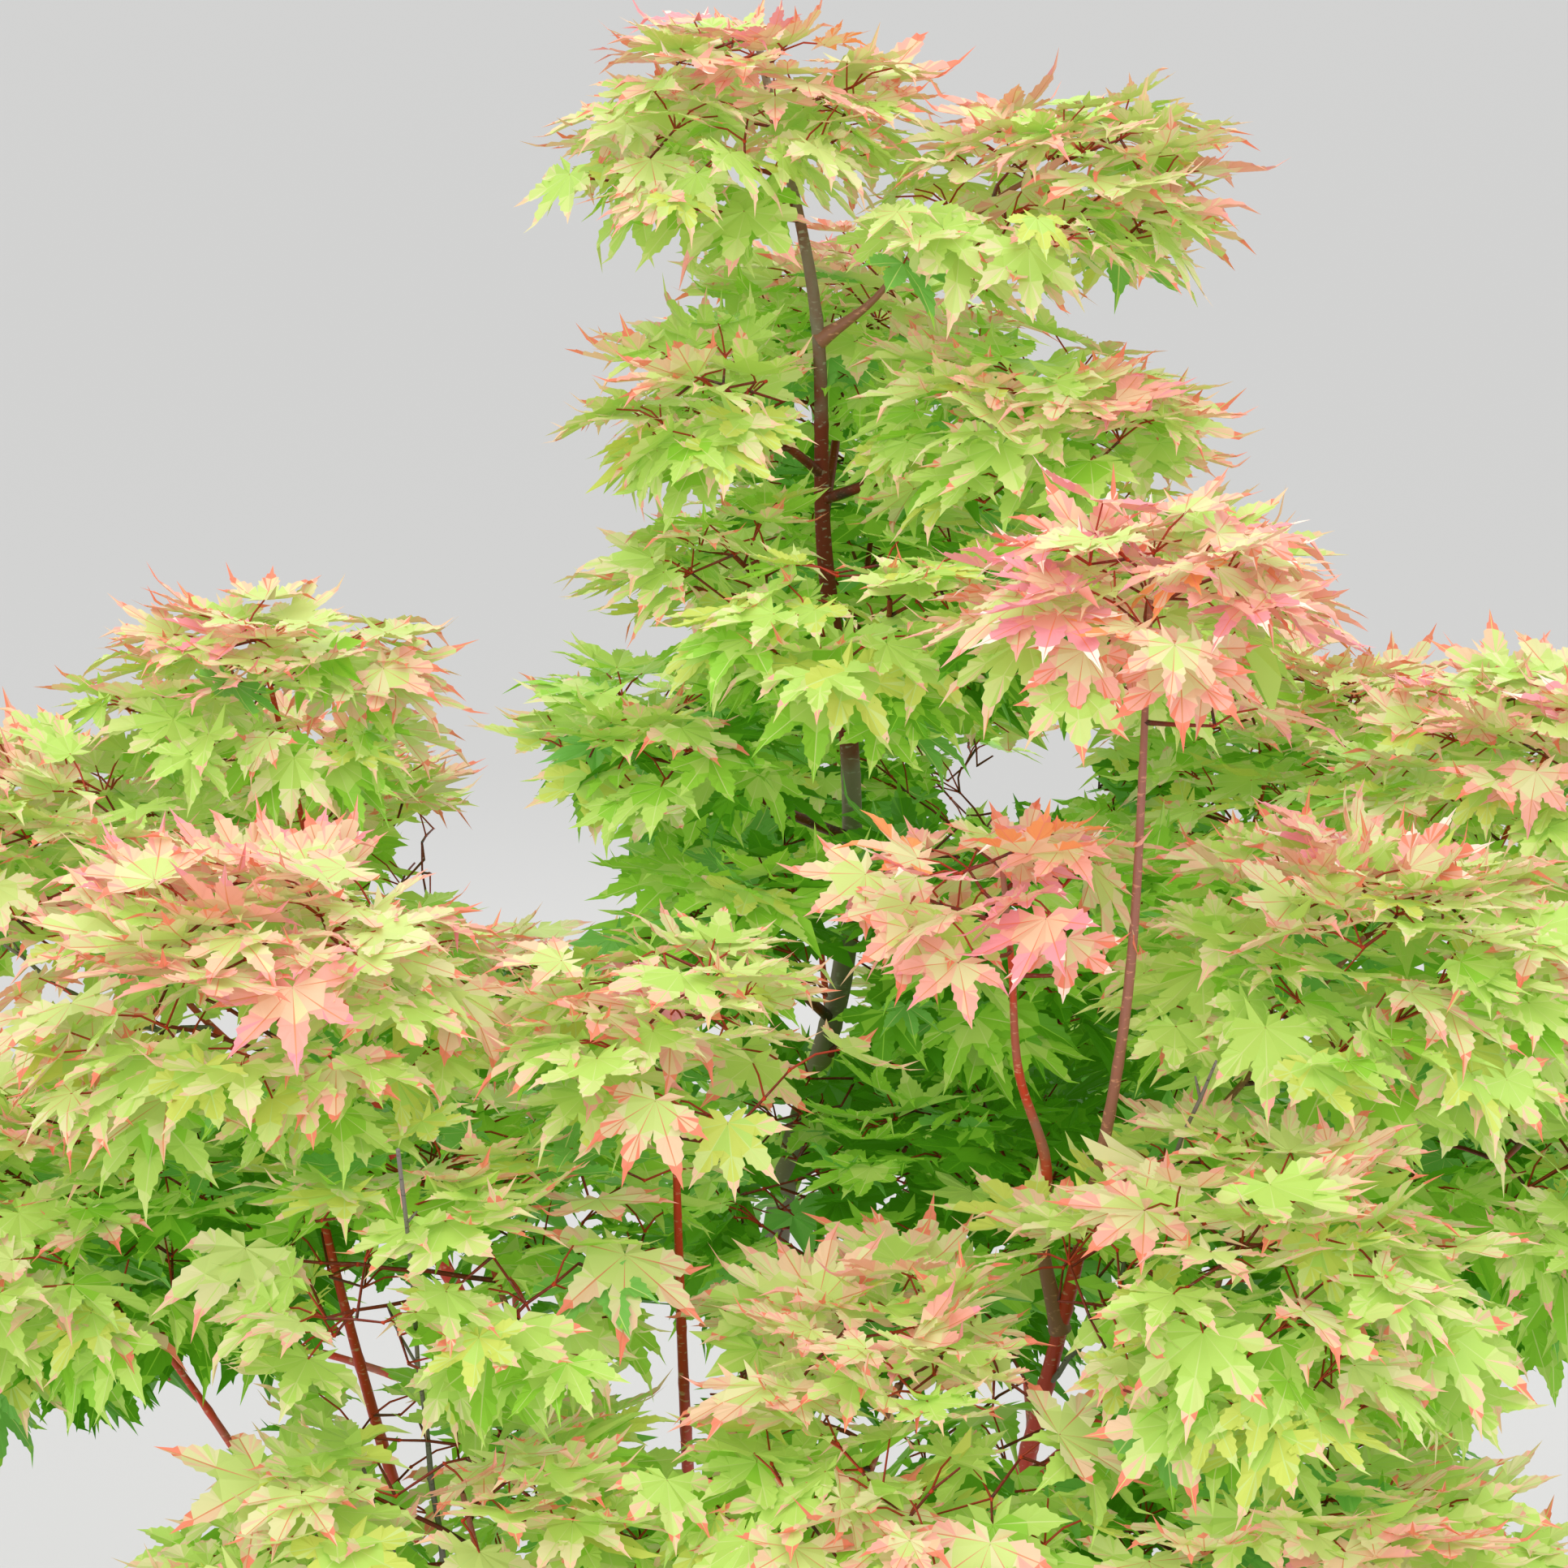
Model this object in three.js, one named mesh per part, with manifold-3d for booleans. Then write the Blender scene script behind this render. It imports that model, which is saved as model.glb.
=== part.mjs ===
// A young coral-bark Japanese maple, rooted in the ground: a slender trunk with a small root flare that runs
// up as the leader, ascending boughs and side branches, and flat tiers of palmate leaves on twigs.
// Millimetres, +Z up, the front towards -Y. The origin is the middle of the flat cut at ground level.
import * as THREE from "three";
import Module from "manifold-3d";

const wasm = await Module();
wasm.setup();

// Trunk. The line is its lean and its bends, from just under the ground, where it is cut flat, to its tip.
const TRUNK_LINE = [
  [0, 0, -10],
  [0, 0, 70],
  [-10, 34, 330],
  [-14, 62, 600],
  [-2, 76, 860],
  [38, 81, 1020],
  [42, 82, 1150],
  [25, 80, 1290],
  [19, 78, 1440],
  [-16, 66, 1600],
];
const TRUNK = { baseRadius: 15, tipRadius: 2.6, taper: 0.8, steps: 16, crowding: 1.25, corners: 8 };
const FLARE = { radius: 10, height: 50, buttresses: 5, depth: 4 };

// Limbs. The radius at the root grows with the length, and small bends stray by a share of the length.
const LIMB = {
  tipRadius: 2.8,
  boughGrowth: 0.0065,
  branchGrowth: 0.005,
  steps: 5,
  corners: 5,
  bends: 5,
  stray: 0.018,
};
const SEAT_GAP = 0.3;

// How a limb bows between root and tip: the share of the way outwards and upwards at which its bend lies.
const BOUGH_BOW = [0.85, 0.42];
const BRANCH_BOW = [0.6, 0.4];
const SPRAY_BOW = [0.6, 0.45];

// Foliage. Each mass keeps to a space that is wider than it is high, and stops short of its neighbours.
const SPACE = { flatness: 1.5, gap: 1, hubRise: 0.2, entry: 0.98, limbClearance: 2 };
const STEM = { steps: 3, corners: 4, tipRadius: 2.8 };
const TWIG = {
  corners: 3,
  rootRadius: 1.9,
  tipRadius: 1.6,
  rise: { least: 4, most: 34 },
  stray: 16,
  stemZone: [0.16, 0.86],
  leavesShort: 0.9,
  leastReach: 0.3,
};
const GOLDEN_ANGLE = 137.508;
const GOLDEN_SHARE = 0.618;
const CROWN_PER_LEAF = 2180;
const LEAVES_PER_TWIG = 2.8;
const TUFT = { below: 0.02, apart: 0.07, pitches: [-20, 16, 24] };
const FIRST_SEED = 101;
const SEED_STEP = 37;

// Steps for feeling the way: in millimetres through a space, in shares along a curve, and in halvings.
const MARCH_STEP = 4;
const ENTRY_STEP = 0.005;
const HALVINGS = 40;

// One leaf, as shares of its length: five lobes round the middle of the blade, and a narrow stalk.
const LEAF = {
  longest: 132,
  shortest: 92,
  perRadius: 0.9,
  stalk: 0.19,
  stalkHalf: 0.02,
  stalkJoin: 0.15,
  lobeAngles: [94, 47, 0, -47, -94],
  lobeLengths: [0.57, 0.78, 0.84, 0.78, 0.57],
  notch: 0.34,
  thickness: 0.024,
  droop: 0.18,
  fold: 0.03,
  pitch: { least: 22, most: 58 },
  sizes: [1, 0.88, 0.78, 0.68],
  swings: [0, 20, -20, 40, -40, 60, -60],
  tilts: [0, 16, -16, -30],
  rollPerSwing: -0.125,
};
const LEAF_SPOTS = [
  { share: 0.92, swing: 0 },
  { share: 0.7, swing: 64 },
  { share: 0.6, swing: -64 },
  { share: 0.36, swing: 78 },
  { share: 0.26, swing: -78 },
];

// Masses of foliage on stems of their own from the trunk. at is the middle of the mass, and its stem leaves
// the trunk at the height called from.
const SPRAYS = [
  { name: "foliage_second_left", from: 1338, at: [-36, 5, 1382], radius: 102 },
  { name: "foliage_second_right", from: 1322, at: [148, 5, 1364], radius: 132 },
  { name: "foliage_second_back", from: 1306, at: [40, 185, 1400], radius: 128 },
  { name: "foliage_third_left", from: 1222, at: [-30, -10, 1284], radius: 97 },
  { name: "foliage_third_front", from: 1206, at: [60, -95, 1268], radius: 122 },
  { name: "foliage_third_right", from: 1190, at: [192, 12, 1264], radius: 148 },
  { name: "foliage_third_back", from: 1174, at: [60, 220, 1262], radius: 150 },
  { name: "foliage_arm_left", from: 1105, at: [-78, -42, 1186], radius: 107 },
  { name: "foliage_inner_right", from: 960, at: [135, 0, 1065], radius: 146 },
  { name: "foliage_inner_left", from: 985, at: [-22, -50, 1082], radius: 112 },
  { name: "foliage_inner_low", from: 800, at: [75, -30, 905], radius: 172 },
];

// Boughs off the trunk and branches off a bough, each with its own mass of foliage at its tip. from is a
// height on the trunk, or a share of the parent bough.
const LIMBS = [
  { name: "bough_top_right", from: 1420, at: [162, 48, 1500], radius: 139, bow: [0.5, 0.6] },
  { name: "bough_right", from: 520, at: [468, 30, 1140], radius: 168, bow: [0.85, 0.45] },
  { name: "bough_front_right", from: 330, at: [188, -270, 1315], radius: 114, bow: [1.1, 0.42] },
  { name: "bough_front", from: 400, at: [-58, -310, 1100], radius: 116 },
  { name: "bough_front_left", from: 300, at: [-268, -300, 1118], radius: 145, bow: [0.82, 0.42] },
  { name: "bough_left", from: 560, at: [-312, 0, 1214], radius: 127, bow: [0.9, 0.42] },
  { name: "bough_back_left", from: 450, at: [-330, 215, 1060], radius: 155 },
  { name: "bough_back", from: 600, at: [40, 340, 1085], radius: 170 },
  { name: "bough_back_right", from: 380, at: [335, 250, 1095], radius: 170 },
  {
    name: "branch_red_spray", parent: "bough_front_right",
    from: 0.66, at: [112, -300, 1172], radius: 98, bow: [0.45, 0.5],
  },
  {
    name: "branch_right_front", parent: "bough_front_right",
    from: 0.72, at: [315, -215, 1100], radius: 146, bow: [0.6, 0.45],
  },
  { name: "branch_left_edge", parent: "bough_left", from: 0.6, at: [-420, -60, 1116], radius: 146 },
  { name: "branch_middle_right", parent: "bough_right", from: 0.5, at: [450, -150, 985], radius: 172 },
  {
    name: "branch_middle_front", parent: "bough_front_right",
    from: 0.52, at: [228, -350, 975], radius: 154, bow: [0.7, 0.4],
  },
  {
    name: "branch_middle_left", parent: "bough_front_left",
    from: 0.55, at: [-385, -235, 975], radius: 162, bow: [0.7, 0.4],
  },
  {
    name: "branch_front_left_inner", parent: "bough_front",
    from: 0.55, at: [-160, -325, 990], radius: 150,
  },
  {
    name: "branch_low_front_right", parent: "bough_front_right",
    from: 0.36, at: [245, -385, 835], radius: 172,
  },
  { name: "branch_low_front", parent: "bough_front", from: 0.4, at: [58, -372, 905], radius: 166 },
  {
    name: "branch_low_front_left", parent: "bough_front_left",
    from: 0.36, at: [-165, -375, 845], radius: 168,
  },
  { name: "branch_low_left", parent: "bough_left", from: 0.3, at: [-440, -20, 855], radius: 170 },
  { name: "branch_low_right", parent: "bough_right", from: 0.3, at: [440, 100, 850], radius: 178 },
  {
    name: "branch_low_back_left", parent: "bough_back_left",
    from: 0.38, at: [-215, 310, 870], radius: 178,
  },
  {
    name: "branch_low_back_right", parent: "bough_back_right",
    from: 0.38, at: [205, 335, 865], radius: 178,
  },
];
const TOP = { name: "foliage_top", at: [-28, 60, 1546], radius: 137 };

const MATERIALS = {
  trunk: new THREE.MeshStandardMaterial({ color: 0x77685c, roughness: 0.85 }),
  bough: new THREE.MeshStandardMaterial({ color: 0xa2382b, roughness: 0.55 }),
  foliage: new THREE.MeshStandardMaterial({ color: 0xa9c24a, roughness: 0.6, flatShading: true }),
};

// A repeatable run of numbers from 0 to 1.
function dice(seed) {
  let state = seed >>> 0;
  return () => {
    state = (Math.imul(state, 1664525) + 1013904223) >>> 0;
    return state / 2 ** 32;
  };
}

function polar(azimuth, reach, height) {
  const angle = THREE.MathUtils.degToRad(azimuth);
  return new THREE.Vector3(reach * Math.cos(angle), reach * Math.sin(angle), height);
}

function geometryOf(points, faces) {
  const geometry = new THREE.BufferGeometry();
  geometry.setAttribute("position", new THREE.Float32BufferAttribute(points.flatMap((p) => p.toArray()), 3));
  geometry.setIndex(faces.flat());
  return geometry;
}

function solidOf(geometry) {
  const vertProperties = geometry.getAttribute("position").array;
  const triVerts = new Uint32Array(geometry.getIndex().array);
  return new wasm.Manifold(new wasm.Mesh({ numProp: 3, vertProperties, triVerts }));
}

function meshOf(name, solid, look) {
  const { vertProperties, triVerts } = solid.getMesh();
  const geometry = new THREE.BufferGeometry();
  geometry.setAttribute("position", new THREE.BufferAttribute(vertProperties, 3));
  geometry.setIndex(new THREE.BufferAttribute(triVerts, 1));
  const mesh = new THREE.Mesh(geometry, MATERIALS[look]);
  mesh.name = name;
  return mesh;
}

// The shares of a curve at which a tube has its rings, crowded towards the start where crowding is over 1.
function ringShares(from, to, steps, crowding = 1) {
  return Array.from({ length: steps + 1 }, (_, i) => from + (to - from) * (i / steps) ** crowding);
}

// A closed tapering tube whose rings turn as little as they can. radiusAt takes the share of the curve's
// length and the angle round the ring. The first ring is lined up with +X, which no curve here starts along.
function tube(curve, radiusAt, rings, corners) {
  const points = [];
  const faces = [];
  const side = new THREE.Vector3(1, 0, 0);
  for (const t of rings) {
    const along = curve.getTangentAt(t);
    side.addScaledVector(along, -side.dot(along)).normalize();
    const across = along.clone().cross(side);
    for (let j = 0; j < corners; j++) {
      const angle = (2 * Math.PI * j) / corners;
      const radius = radiusAt(t, angle);
      const corner = curve.getPointAt(t).addScaledVector(side, radius * Math.cos(angle));
      points.push(corner.addScaledVector(across, radius * Math.sin(angle)));
    }
  }
  const last = (rings.length - 1) * corners;
  for (let ring = 0; ring < last; ring += corners) {
    for (let j = 0; j < corners; j++) {
      const [a, b] = [ring + j, ring + ((j + 1) % corners)];
      faces.push([a, b, b + corners], [a, b + corners, a + corners]);
    }
  }
  for (let j = 1; j < corners - 1; j++) faces.push([0, j + 1, j], [last, last + j, last + j + 1]);
  return geometryOf(points, faces);
}

// The middle of a tube at a share of its curve: on the straight runs between its rings, not on the curve.
function onSpine({ curve, rings }, t) {
  const next = Math.max(1, rings.findIndex((ring) => ring >= t));
  const [from, to] = [rings[next - 1], rings[next]];
  return curve.getPointAt(from).lerp(curve.getPointAt(to), (t - from) / (to - from));
}

const trunkCurve = new THREE.CatmullRomCurve3(TRUNK_LINE.map((p) => new THREE.Vector3(...p)));

// The share of the trunk's length at which it reaches a height.
function trunkShare(height) {
  let [low, high] = [0, 1];
  for (let i = 0; i < HALVINGS; i++) {
    const middle = (low + high) / 2;
    if (trunkCurve.getPointAt(middle).z < height) low = middle;
    else high = middle;
  }
  return low;
}

function trunkRadius(t, angle) {
  const height = trunkCurve.getPointAt(t).z;
  const taper = TRUNK.tipRadius + (TRUNK.baseRadius - TRUNK.tipRadius) * (1 - t) ** TRUNK.taper;
  const flare = Math.exp(-height / FLARE.height);
  return taper + flare * (FLARE.radius + FLARE.depth * Math.cos(FLARE.buttresses * angle));
}

// A limb's line from its root to a hub in its mass, bowed, with small bends along it.
function limbCurve(root, hub, [out, up], random) {
  const span = hub.clone().sub(root);
  const bend = root.clone().add(span.clone().multiply(new THREE.Vector3(out, out, up)));
  const bow = new THREE.QuadraticBezierCurve3(root, bend, hub);
  const stray = LIMB.stray * span.length();
  const points = bow.getPoints(LIMB.bends).map((point, i) => {
    const shift = new THREE.Vector3(random() - 0.5, random() - 0.5, random() - 0.5);
    return i === 0 || i === LIMB.bends ? point : point.addScaledVector(shift, 2 * stray);
  });
  return new THREE.CatmullRomCurve3(points);
}

// Distance from a mass's centre, in a frame where its flattened space is a ball.
function flattened(point, centre) {
  const d = point.clone().sub(centre);
  return Math.hypot(d.x, d.y, SPACE.flatness * d.z);
}

// The share of a curve at which it enters the space of a mass, working back from the hub inside it.
function entryShare(curve, mass) {
  let t = 1;
  while (t > 0 && flattened(curve.getPointAt(t), mass.centre) < SPACE.entry * mass.radius) t -= ENTRY_STEP;
  return t;
}

const joined = (solids) => solids.reduce((all, solid) => all.add(solid));

// A piece cut clear of what it meets, with any loose scrap dropped.
function cutClear(piece, obstacle) {
  const parts = piece.subtract(obstacle).decompose();
  return parts.reduce((best, part) => (part.volume() > best.volume() ? part : best));
}

function massAt({ name, at, radius }, index) {
  const centre = new THREE.Vector3(...at);
  const hub = centre.clone().setZ(centre.z + SPACE.hubRise * radius);
  const seed = FIRST_SEED + SEED_STEP * index;
  return { name: name.replace(/^(bough|branch)/, "foliage"), centre, radius, hub, seed };
}

// The trunk, which runs on past its end as the stem of the top mass.
function planTrunk(mass) {
  const end = entryShare(trunkCurve, mass);
  const start = end + SEAT_GAP / trunkCurve.getLength();
  Object.assign(mass, { curve: trunkCurve, start, stemRadius: TRUNK.tipRadius });
  const rings = ringShares(0, end, TRUNK.steps, TRUNK.crowding);
  const { corners } = TRUNK;
  return { name: "trunk", curve: trunkCurve, rings, radiusAt: trunkRadius, corners, look: "trunk" };
}

// A mass whose stem comes straight off the trunk.
function planSpray({ from }, mass, trunk) {
  const root = onSpine(trunk, trunkShare(from));
  const curve = limbCurve(root, mass.hub, SPRAY_BOW, dice(mass.seed));
  const stemRadius = STEM.tipRadius + LIMB.branchGrowth * curve.getLength();
  Object.assign(mass, { curve, start: 0, stemRadius });
}

// A limb, which runs on past its end as the stem of its mass.
function planLimb({ name, parent, from, bow }, mass, limbs) {
  const carrier = limbs.get(parent ?? "trunk");
  const root = onSpine(carrier, parent ? from * carrier.rings.at(-1) : trunkShare(from));
  const curve = limbCurve(root, mass.hub, bow ?? (parent ? BRANCH_BOW : BOUGH_BOW), dice(mass.seed));
  const end = entryShare(curve, mass);
  Object.assign(mass, { curve, start: end + SEAT_GAP / curve.getLength(), stemRadius: LIMB.tipRadius });
  const growth = (parent ? LIMB.branchGrowth : LIMB.boughGrowth) * curve.getLength();
  const radiusAt = (t) => LIMB.tipRadius + growth * (1 - t / end);
  const rings = ringShares(0, end, LIMB.steps);
  return { name, curve, rings, radiusAt, corners: LIMB.corners, look: "bough" };
}

// Every limb and mass as a plan: its line, its thickness and where its foliage starts.
function plan() {
  const masses = [TOP, ...SPRAYS, ...LIMBS].map(massAt);
  const trunk = planTrunk(masses[0]);
  SPRAYS.forEach((spray, i) => planSpray(spray, masses[1 + i], trunk));
  const limbs = new Map([[trunk.name, trunk]]);
  LIMBS.forEach((limb, i) => limbs.set(limb.name, planLimb(limb, masses[1 + SPRAYS.length + i], limbs)));
  for (const mass of masses) mass.rings = ringShares(mass.start, 1, STEM.steps);
  return { limbs: [...limbs.values()], masses };
}

// A limb's solid from the ground up, grown outwards by a margin where something has to keep clear of it.
function limbSolid(limb, margin = 0) {
  const radiusAt = (t, angle) => limb.radiusAt(t, angle) + margin;
  return solidOf(tube(limb.curve, radiusAt, limb.rings, limb.corners)).trimByPlane([0, 0, 1], 0);
}

// A leaf in its own frame: the stalk's root at the origin, the blade out along +X and facing +Z.
function leafPoints(length) {
  const middle = new THREE.Vector3(LEAF.stalk, 0, 0);
  const join = new THREE.Vector3(LEAF.stalkJoin, LEAF.stalkHalf, 0);
  const rim = [new THREE.Vector3(0, 0, 0), join];
  LEAF.lobeAngles.forEach((lobe, i) => {
    rim.push(polar(lobe, LEAF.lobeLengths[i], -LEAF.droop * LEAF.lobeLengths[i] ** 2).add(middle));
    const next = LEAF.lobeAngles[i + 1];
    if (next !== undefined) rim.push(polar((lobe + next) / 2, LEAF.notch, -LEAF.fold).add(middle));
  });
  rim.push(join.clone().setY(-LEAF.stalkHalf));
  const half = LEAF.thickness / 2;
  const points = [...rim, middle.clone().setZ(half), middle.clone().setZ(-half)];
  return points.map((point) => point.multiplyScalar(length));
}

function leafFaces() {
  const rim = 2 * LEAF.lobeAngles.length + 2;
  const faces = [];
  for (let i = 0; i < rim; i++) {
    const next = (i + 1) % rim;
    faces.push([next, i, rim], [i, next, rim + 1]);
  }
  return faces;
}

// The leaf with its root in the middle of a twig, heading along its azimuth and pitched down.
function placedLeaf(root, azimuth, pitch, roll, length) {
  const turn = new THREE.Matrix4().makeRotationZ(THREE.MathUtils.degToRad(azimuth));
  turn.multiply(new THREE.Matrix4().makeRotationY(THREE.MathUtils.degToRad(pitch)));
  turn.multiply(new THREE.Matrix4().makeRotationX(THREE.MathUtils.degToRad(roll)));
  turn.setPosition(root);
  return leafPoints(length).map((point) => point.applyMatrix4(turn));
}

// How far a point lies inside the space of a mass: inside its flattened ball, and on its side of the
// plane halfway to each neighbour. Negative outside.
function roomAt(point, mass, masses) {
  const own = flattened(point, mass.centre);
  let room = mass.radius - own;
  for (const other of masses) {
    if (other === mass) continue;
    const away = flattened(point, other.centre);
    const apart = flattened(mass.centre, other.centre);
    const side = (away ** 2 - other.radius ** 2 - own ** 2 + mass.radius ** 2) / (2 * apart);
    room = Math.min(room, side - SPACE.gap);
  }
  return room;
}

function leafLength(mass) {
  return THREE.MathUtils.clamp(LEAF.perRadius * mass.radius, LEAF.shortest, LEAF.longest);
}

// How far the space of a mass goes from a point in a direction.
function reachFrom(root, heading, mass, masses) {
  let reach = 0;
  while (roomAt(root.clone().addScaledVector(heading, reach), mass, masses) > 0) reach += MARCH_STEP;
  return reach;
}

// The twigs of a mass by the seeded rule: round the stem at the golden angle and up and down it in turn,
// each heading out to the edge of the space and stopping about a leaf's length short of it.
function twigPlan(mass, masses, count) {
  const random = dice(mass.seed);
  const turn = 360 * random();
  const inside = Math.max(mass.start, entryShare(mass.curve, mass));
  return Array.from({ length: count }, (_, k) => {
    const level = (k * GOLDEN_SHARE + 0.5) % 1;
    const azimuth = turn + k * GOLDEN_ANGLE + TWIG.stray * (random() - 0.5);
    const rise = THREE.MathUtils.degToRad(THREE.MathUtils.lerp(TWIG.rise.least, TWIG.rise.most, level));
    const heading = polar(azimuth, Math.cos(rise), Math.sin(rise));
    const root = onSpine(mass, inside + (1 - inside) * THREE.MathUtils.lerp(...TWIG.stemZone, level));
    const reach = reachFrom(root, heading, mass, masses);
    const length = Math.max(reach - TWIG.leavesShort * leafLength(mass), TWIG.leastReach * reach);
    return { azimuth, root, tip: root.clone().addScaledVector(heading, length), lean: random() };
  });
}

// The places for leaves on a twig: one at its tip, then a pair, and a further pair near its root.
function twigSpots(twig) {
  return LEAF_SPOTS.map(({ share, swing }, i) => {
    const root = twig.root.clone().lerp(twig.tip, share);
    const slump = (twig.lean + i * GOLDEN_SHARE) % 1;
    const pitch = THREE.MathUtils.lerp(LEAF.pitch.least, LEAF.pitch.most, slump);
    return { root, azimuth: twig.azimuth + swing, pitch, roll: LEAF.rollPerSwing * swing, twig };
  });
}

// The places for the tuft of leaves at the tip of a stem.
function tuftSpots(mass, turn) {
  return TUFT.pitches.map((pitch, k) => {
    const root = onSpine(mass, 1 - (TUFT.below + k * TUFT.apart) * (1 - mass.start));
    return { root, azimuth: turn + (k + 0.5) * GOLDEN_ANGLE, pitch, roll: 0, twig: null };
  });
}

function stemSolid({ curve, rings, start, stemRadius }) {
  const taper = (t) => THREE.MathUtils.lerp(stemRadius, STEM.tipRadius, (t - start) / (1 - start));
  return solidOf(tube(curve, taper, rings, STEM.corners));
}

function twigSolid({ root, tip }) {
  const taper = (t) => THREE.MathUtils.lerp(TWIG.rootRadius, TWIG.tipRadius, t);
  return solidOf(tube(new THREE.LineCurve3(root, tip), taper, [0, 1], TWIG.corners));
}

const touches = (a, b) => a.intersect(b).volume() > 0;

// The leaf at a spot, at the largest size and least swing that keep it in its space and clear of all else.
function fittedLeaf(spot, mass, masses, obstacles) {
  for (const size of LEAF.sizes) {
    for (const tilt of LEAF.tilts) {
      for (const swing of LEAF.swings) {
        const length = size * leafLength(mass);
        const points = placedLeaf(spot.root, spot.azimuth + swing, spot.pitch + tilt, spot.roll, length);
        if (points.slice(2).some((point) => roomAt(point, mass, masses) < 0)) continue;
        const leaf = solidOf(geometryOf(points, leafFaces()));
        if (!obstacles.some((obstacle) => touches(leaf, obstacle))) return leaf;
      }
    }
  }
  return null;
}

// The twigs of one mass. A twig that leaves the space or touches a limb or another mass's stem is skipped.
function grownTwigs(mass, masses, wanted, obstacles) {
  const count = Math.ceil((wanted - TUFT.pitches.length) / LEAVES_PER_TWIG);
  return twigPlan(mass, masses, count)
    .filter((twig) => roomAt(twig.tip, mass, masses) > 0)
    .map((twig) => ({ ...twig, solid: twigSolid(twig) }))
    .filter((twig) => !obstacles.some((obstacle) => touches(twig.solid, obstacle)));
}

// A whole mass as one solid: leaves are fused on, tip leaves first, until it has as many as it wants.
function foliageSolid(mass, masses, stem, obstacles) {
  const wanted = Math.round(mass.radius ** 2 / CROWN_PER_LEAF);
  const twigs = grownTwigs(mass, masses, wanted, obstacles);
  const perTwig = twigs.map(twigSpots);
  const outwardIn = LEAF_SPOTS.flatMap((_, order) => perTwig.map((spots) => spots[order]));
  const leaves = [];
  const used = new Set();
  for (const spot of [...tuftSpots(mass, mass.seed), ...outwardIn]) {
    if (leaves.length >= wanted) break;
    const ownWood = twigs.filter((twig) => twig !== spot.twig).map((twig) => twig.solid);
    if (spot.twig) ownWood.push(stem);
    const leaf = fittedLeaf(spot, mass, masses, [...obstacles, ...ownWood, ...leaves]);
    if (!leaf) continue;
    leaves.push(leaf);
    if (spot.twig) used.add(spot.twig.solid);
  }
  return joined([stem, ...used, ...leaves]);
}

function buildTree() {
  const tree = new THREE.Group();
  const { limbs, masses } = plan();
  const seats = limbs.map((limb) => limbSolid(limb, SEAT_GAP));
  const guard = joined(limbs.map((limb) => limbSolid(limb, SPACE.limbClearance)));
  limbs.forEach((limb, i) => {
    const whole = limbSolid(limb);
    tree.add(meshOf(limb.name, i ? cutClear(whole, joined(seats.slice(0, i))) : whole, limb.look));
  });

  const stems = masses.map(stemSolid);
  masses.forEach((mass, i) => {
    const obstacles = [guard, ...stems.filter((stem) => stem !== stems[i])];
    const whole = foliageSolid(mass, masses, stems[i], obstacles);
    tree.add(meshOf(mass.name, cutClear(whole, joined(seats)), "foliage"));
  });
  return tree;
}

export default buildTree();
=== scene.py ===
# A young coral-bark Japanese maple: bark with its relief over the trunk and boughs, fine twigs, and lobed
# leaves of life size on red stalks, all grown by the rule that the solids follow. Lengths are in millimetres
# until a mesh is made, and angles in degrees. +Z is up and the front is towards -Y.
import math

import bpy
import numpy as np
from mathutils import Euler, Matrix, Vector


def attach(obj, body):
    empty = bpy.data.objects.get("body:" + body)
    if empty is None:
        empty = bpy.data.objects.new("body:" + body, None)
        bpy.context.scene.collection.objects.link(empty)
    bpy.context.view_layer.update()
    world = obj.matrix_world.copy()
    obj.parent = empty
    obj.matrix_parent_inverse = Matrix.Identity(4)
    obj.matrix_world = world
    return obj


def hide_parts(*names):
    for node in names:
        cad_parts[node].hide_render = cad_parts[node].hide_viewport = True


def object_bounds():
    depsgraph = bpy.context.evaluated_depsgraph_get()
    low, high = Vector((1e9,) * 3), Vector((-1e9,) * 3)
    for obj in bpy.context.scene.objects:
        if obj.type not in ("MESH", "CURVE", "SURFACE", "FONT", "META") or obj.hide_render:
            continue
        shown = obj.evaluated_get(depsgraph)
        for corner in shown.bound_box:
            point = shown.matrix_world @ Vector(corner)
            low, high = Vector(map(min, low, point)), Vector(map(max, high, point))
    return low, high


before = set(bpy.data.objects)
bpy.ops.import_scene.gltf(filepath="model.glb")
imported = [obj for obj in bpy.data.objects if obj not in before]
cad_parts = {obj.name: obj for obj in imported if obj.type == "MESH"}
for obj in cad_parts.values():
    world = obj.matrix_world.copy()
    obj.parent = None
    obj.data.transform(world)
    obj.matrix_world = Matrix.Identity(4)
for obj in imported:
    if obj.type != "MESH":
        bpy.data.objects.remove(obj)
CAD_BOX = [list(corner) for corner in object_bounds()]
METRE = 0.001

# The limbs and masses, with the same values as the solids.
TRUNK_LINE = [
    (0, 0, -10), (0, 0, 70), (-10, 34, 330), (-14, 62, 600), (-2, 76, 860),
    (38, 81, 1020), (42, 82, 1150), (25, 80, 1290), (19, 78, 1440), (-16, 66, 1600),
]
TRUNK_BASE_RADIUS = 15
TRUNK_TIP_RADIUS = 2.6
TRUNK_TAPER = 0.8
FLARE_RADIUS = 10
FLARE_HEIGHT = 50
FLARE_DEPTH = 4
BUTTRESSES = 5
LIMB_TIP_RADIUS = 2.8
BOUGH_GROWTH = 0.0065
BRANCH_GROWTH = 0.005
LIMB_BENDS = 5
LIMB_STRAY = 0.018
BOUGH_BOW = (0.85, 0.42)
BRANCH_BOW = (0.6, 0.4)
SPRAY_BOW = (0.6, 0.45)
FLATNESS = 1.5
SPACE_GAP = 1
HUB_RISE = 0.2
SPACE_ENTRY = 0.98
ENTRY_STEP = 0.005
TWIG_RISE = (4, 34)
TWIG_STRAY = 16
STEM_ZONE = (0.16, 0.86)
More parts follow.
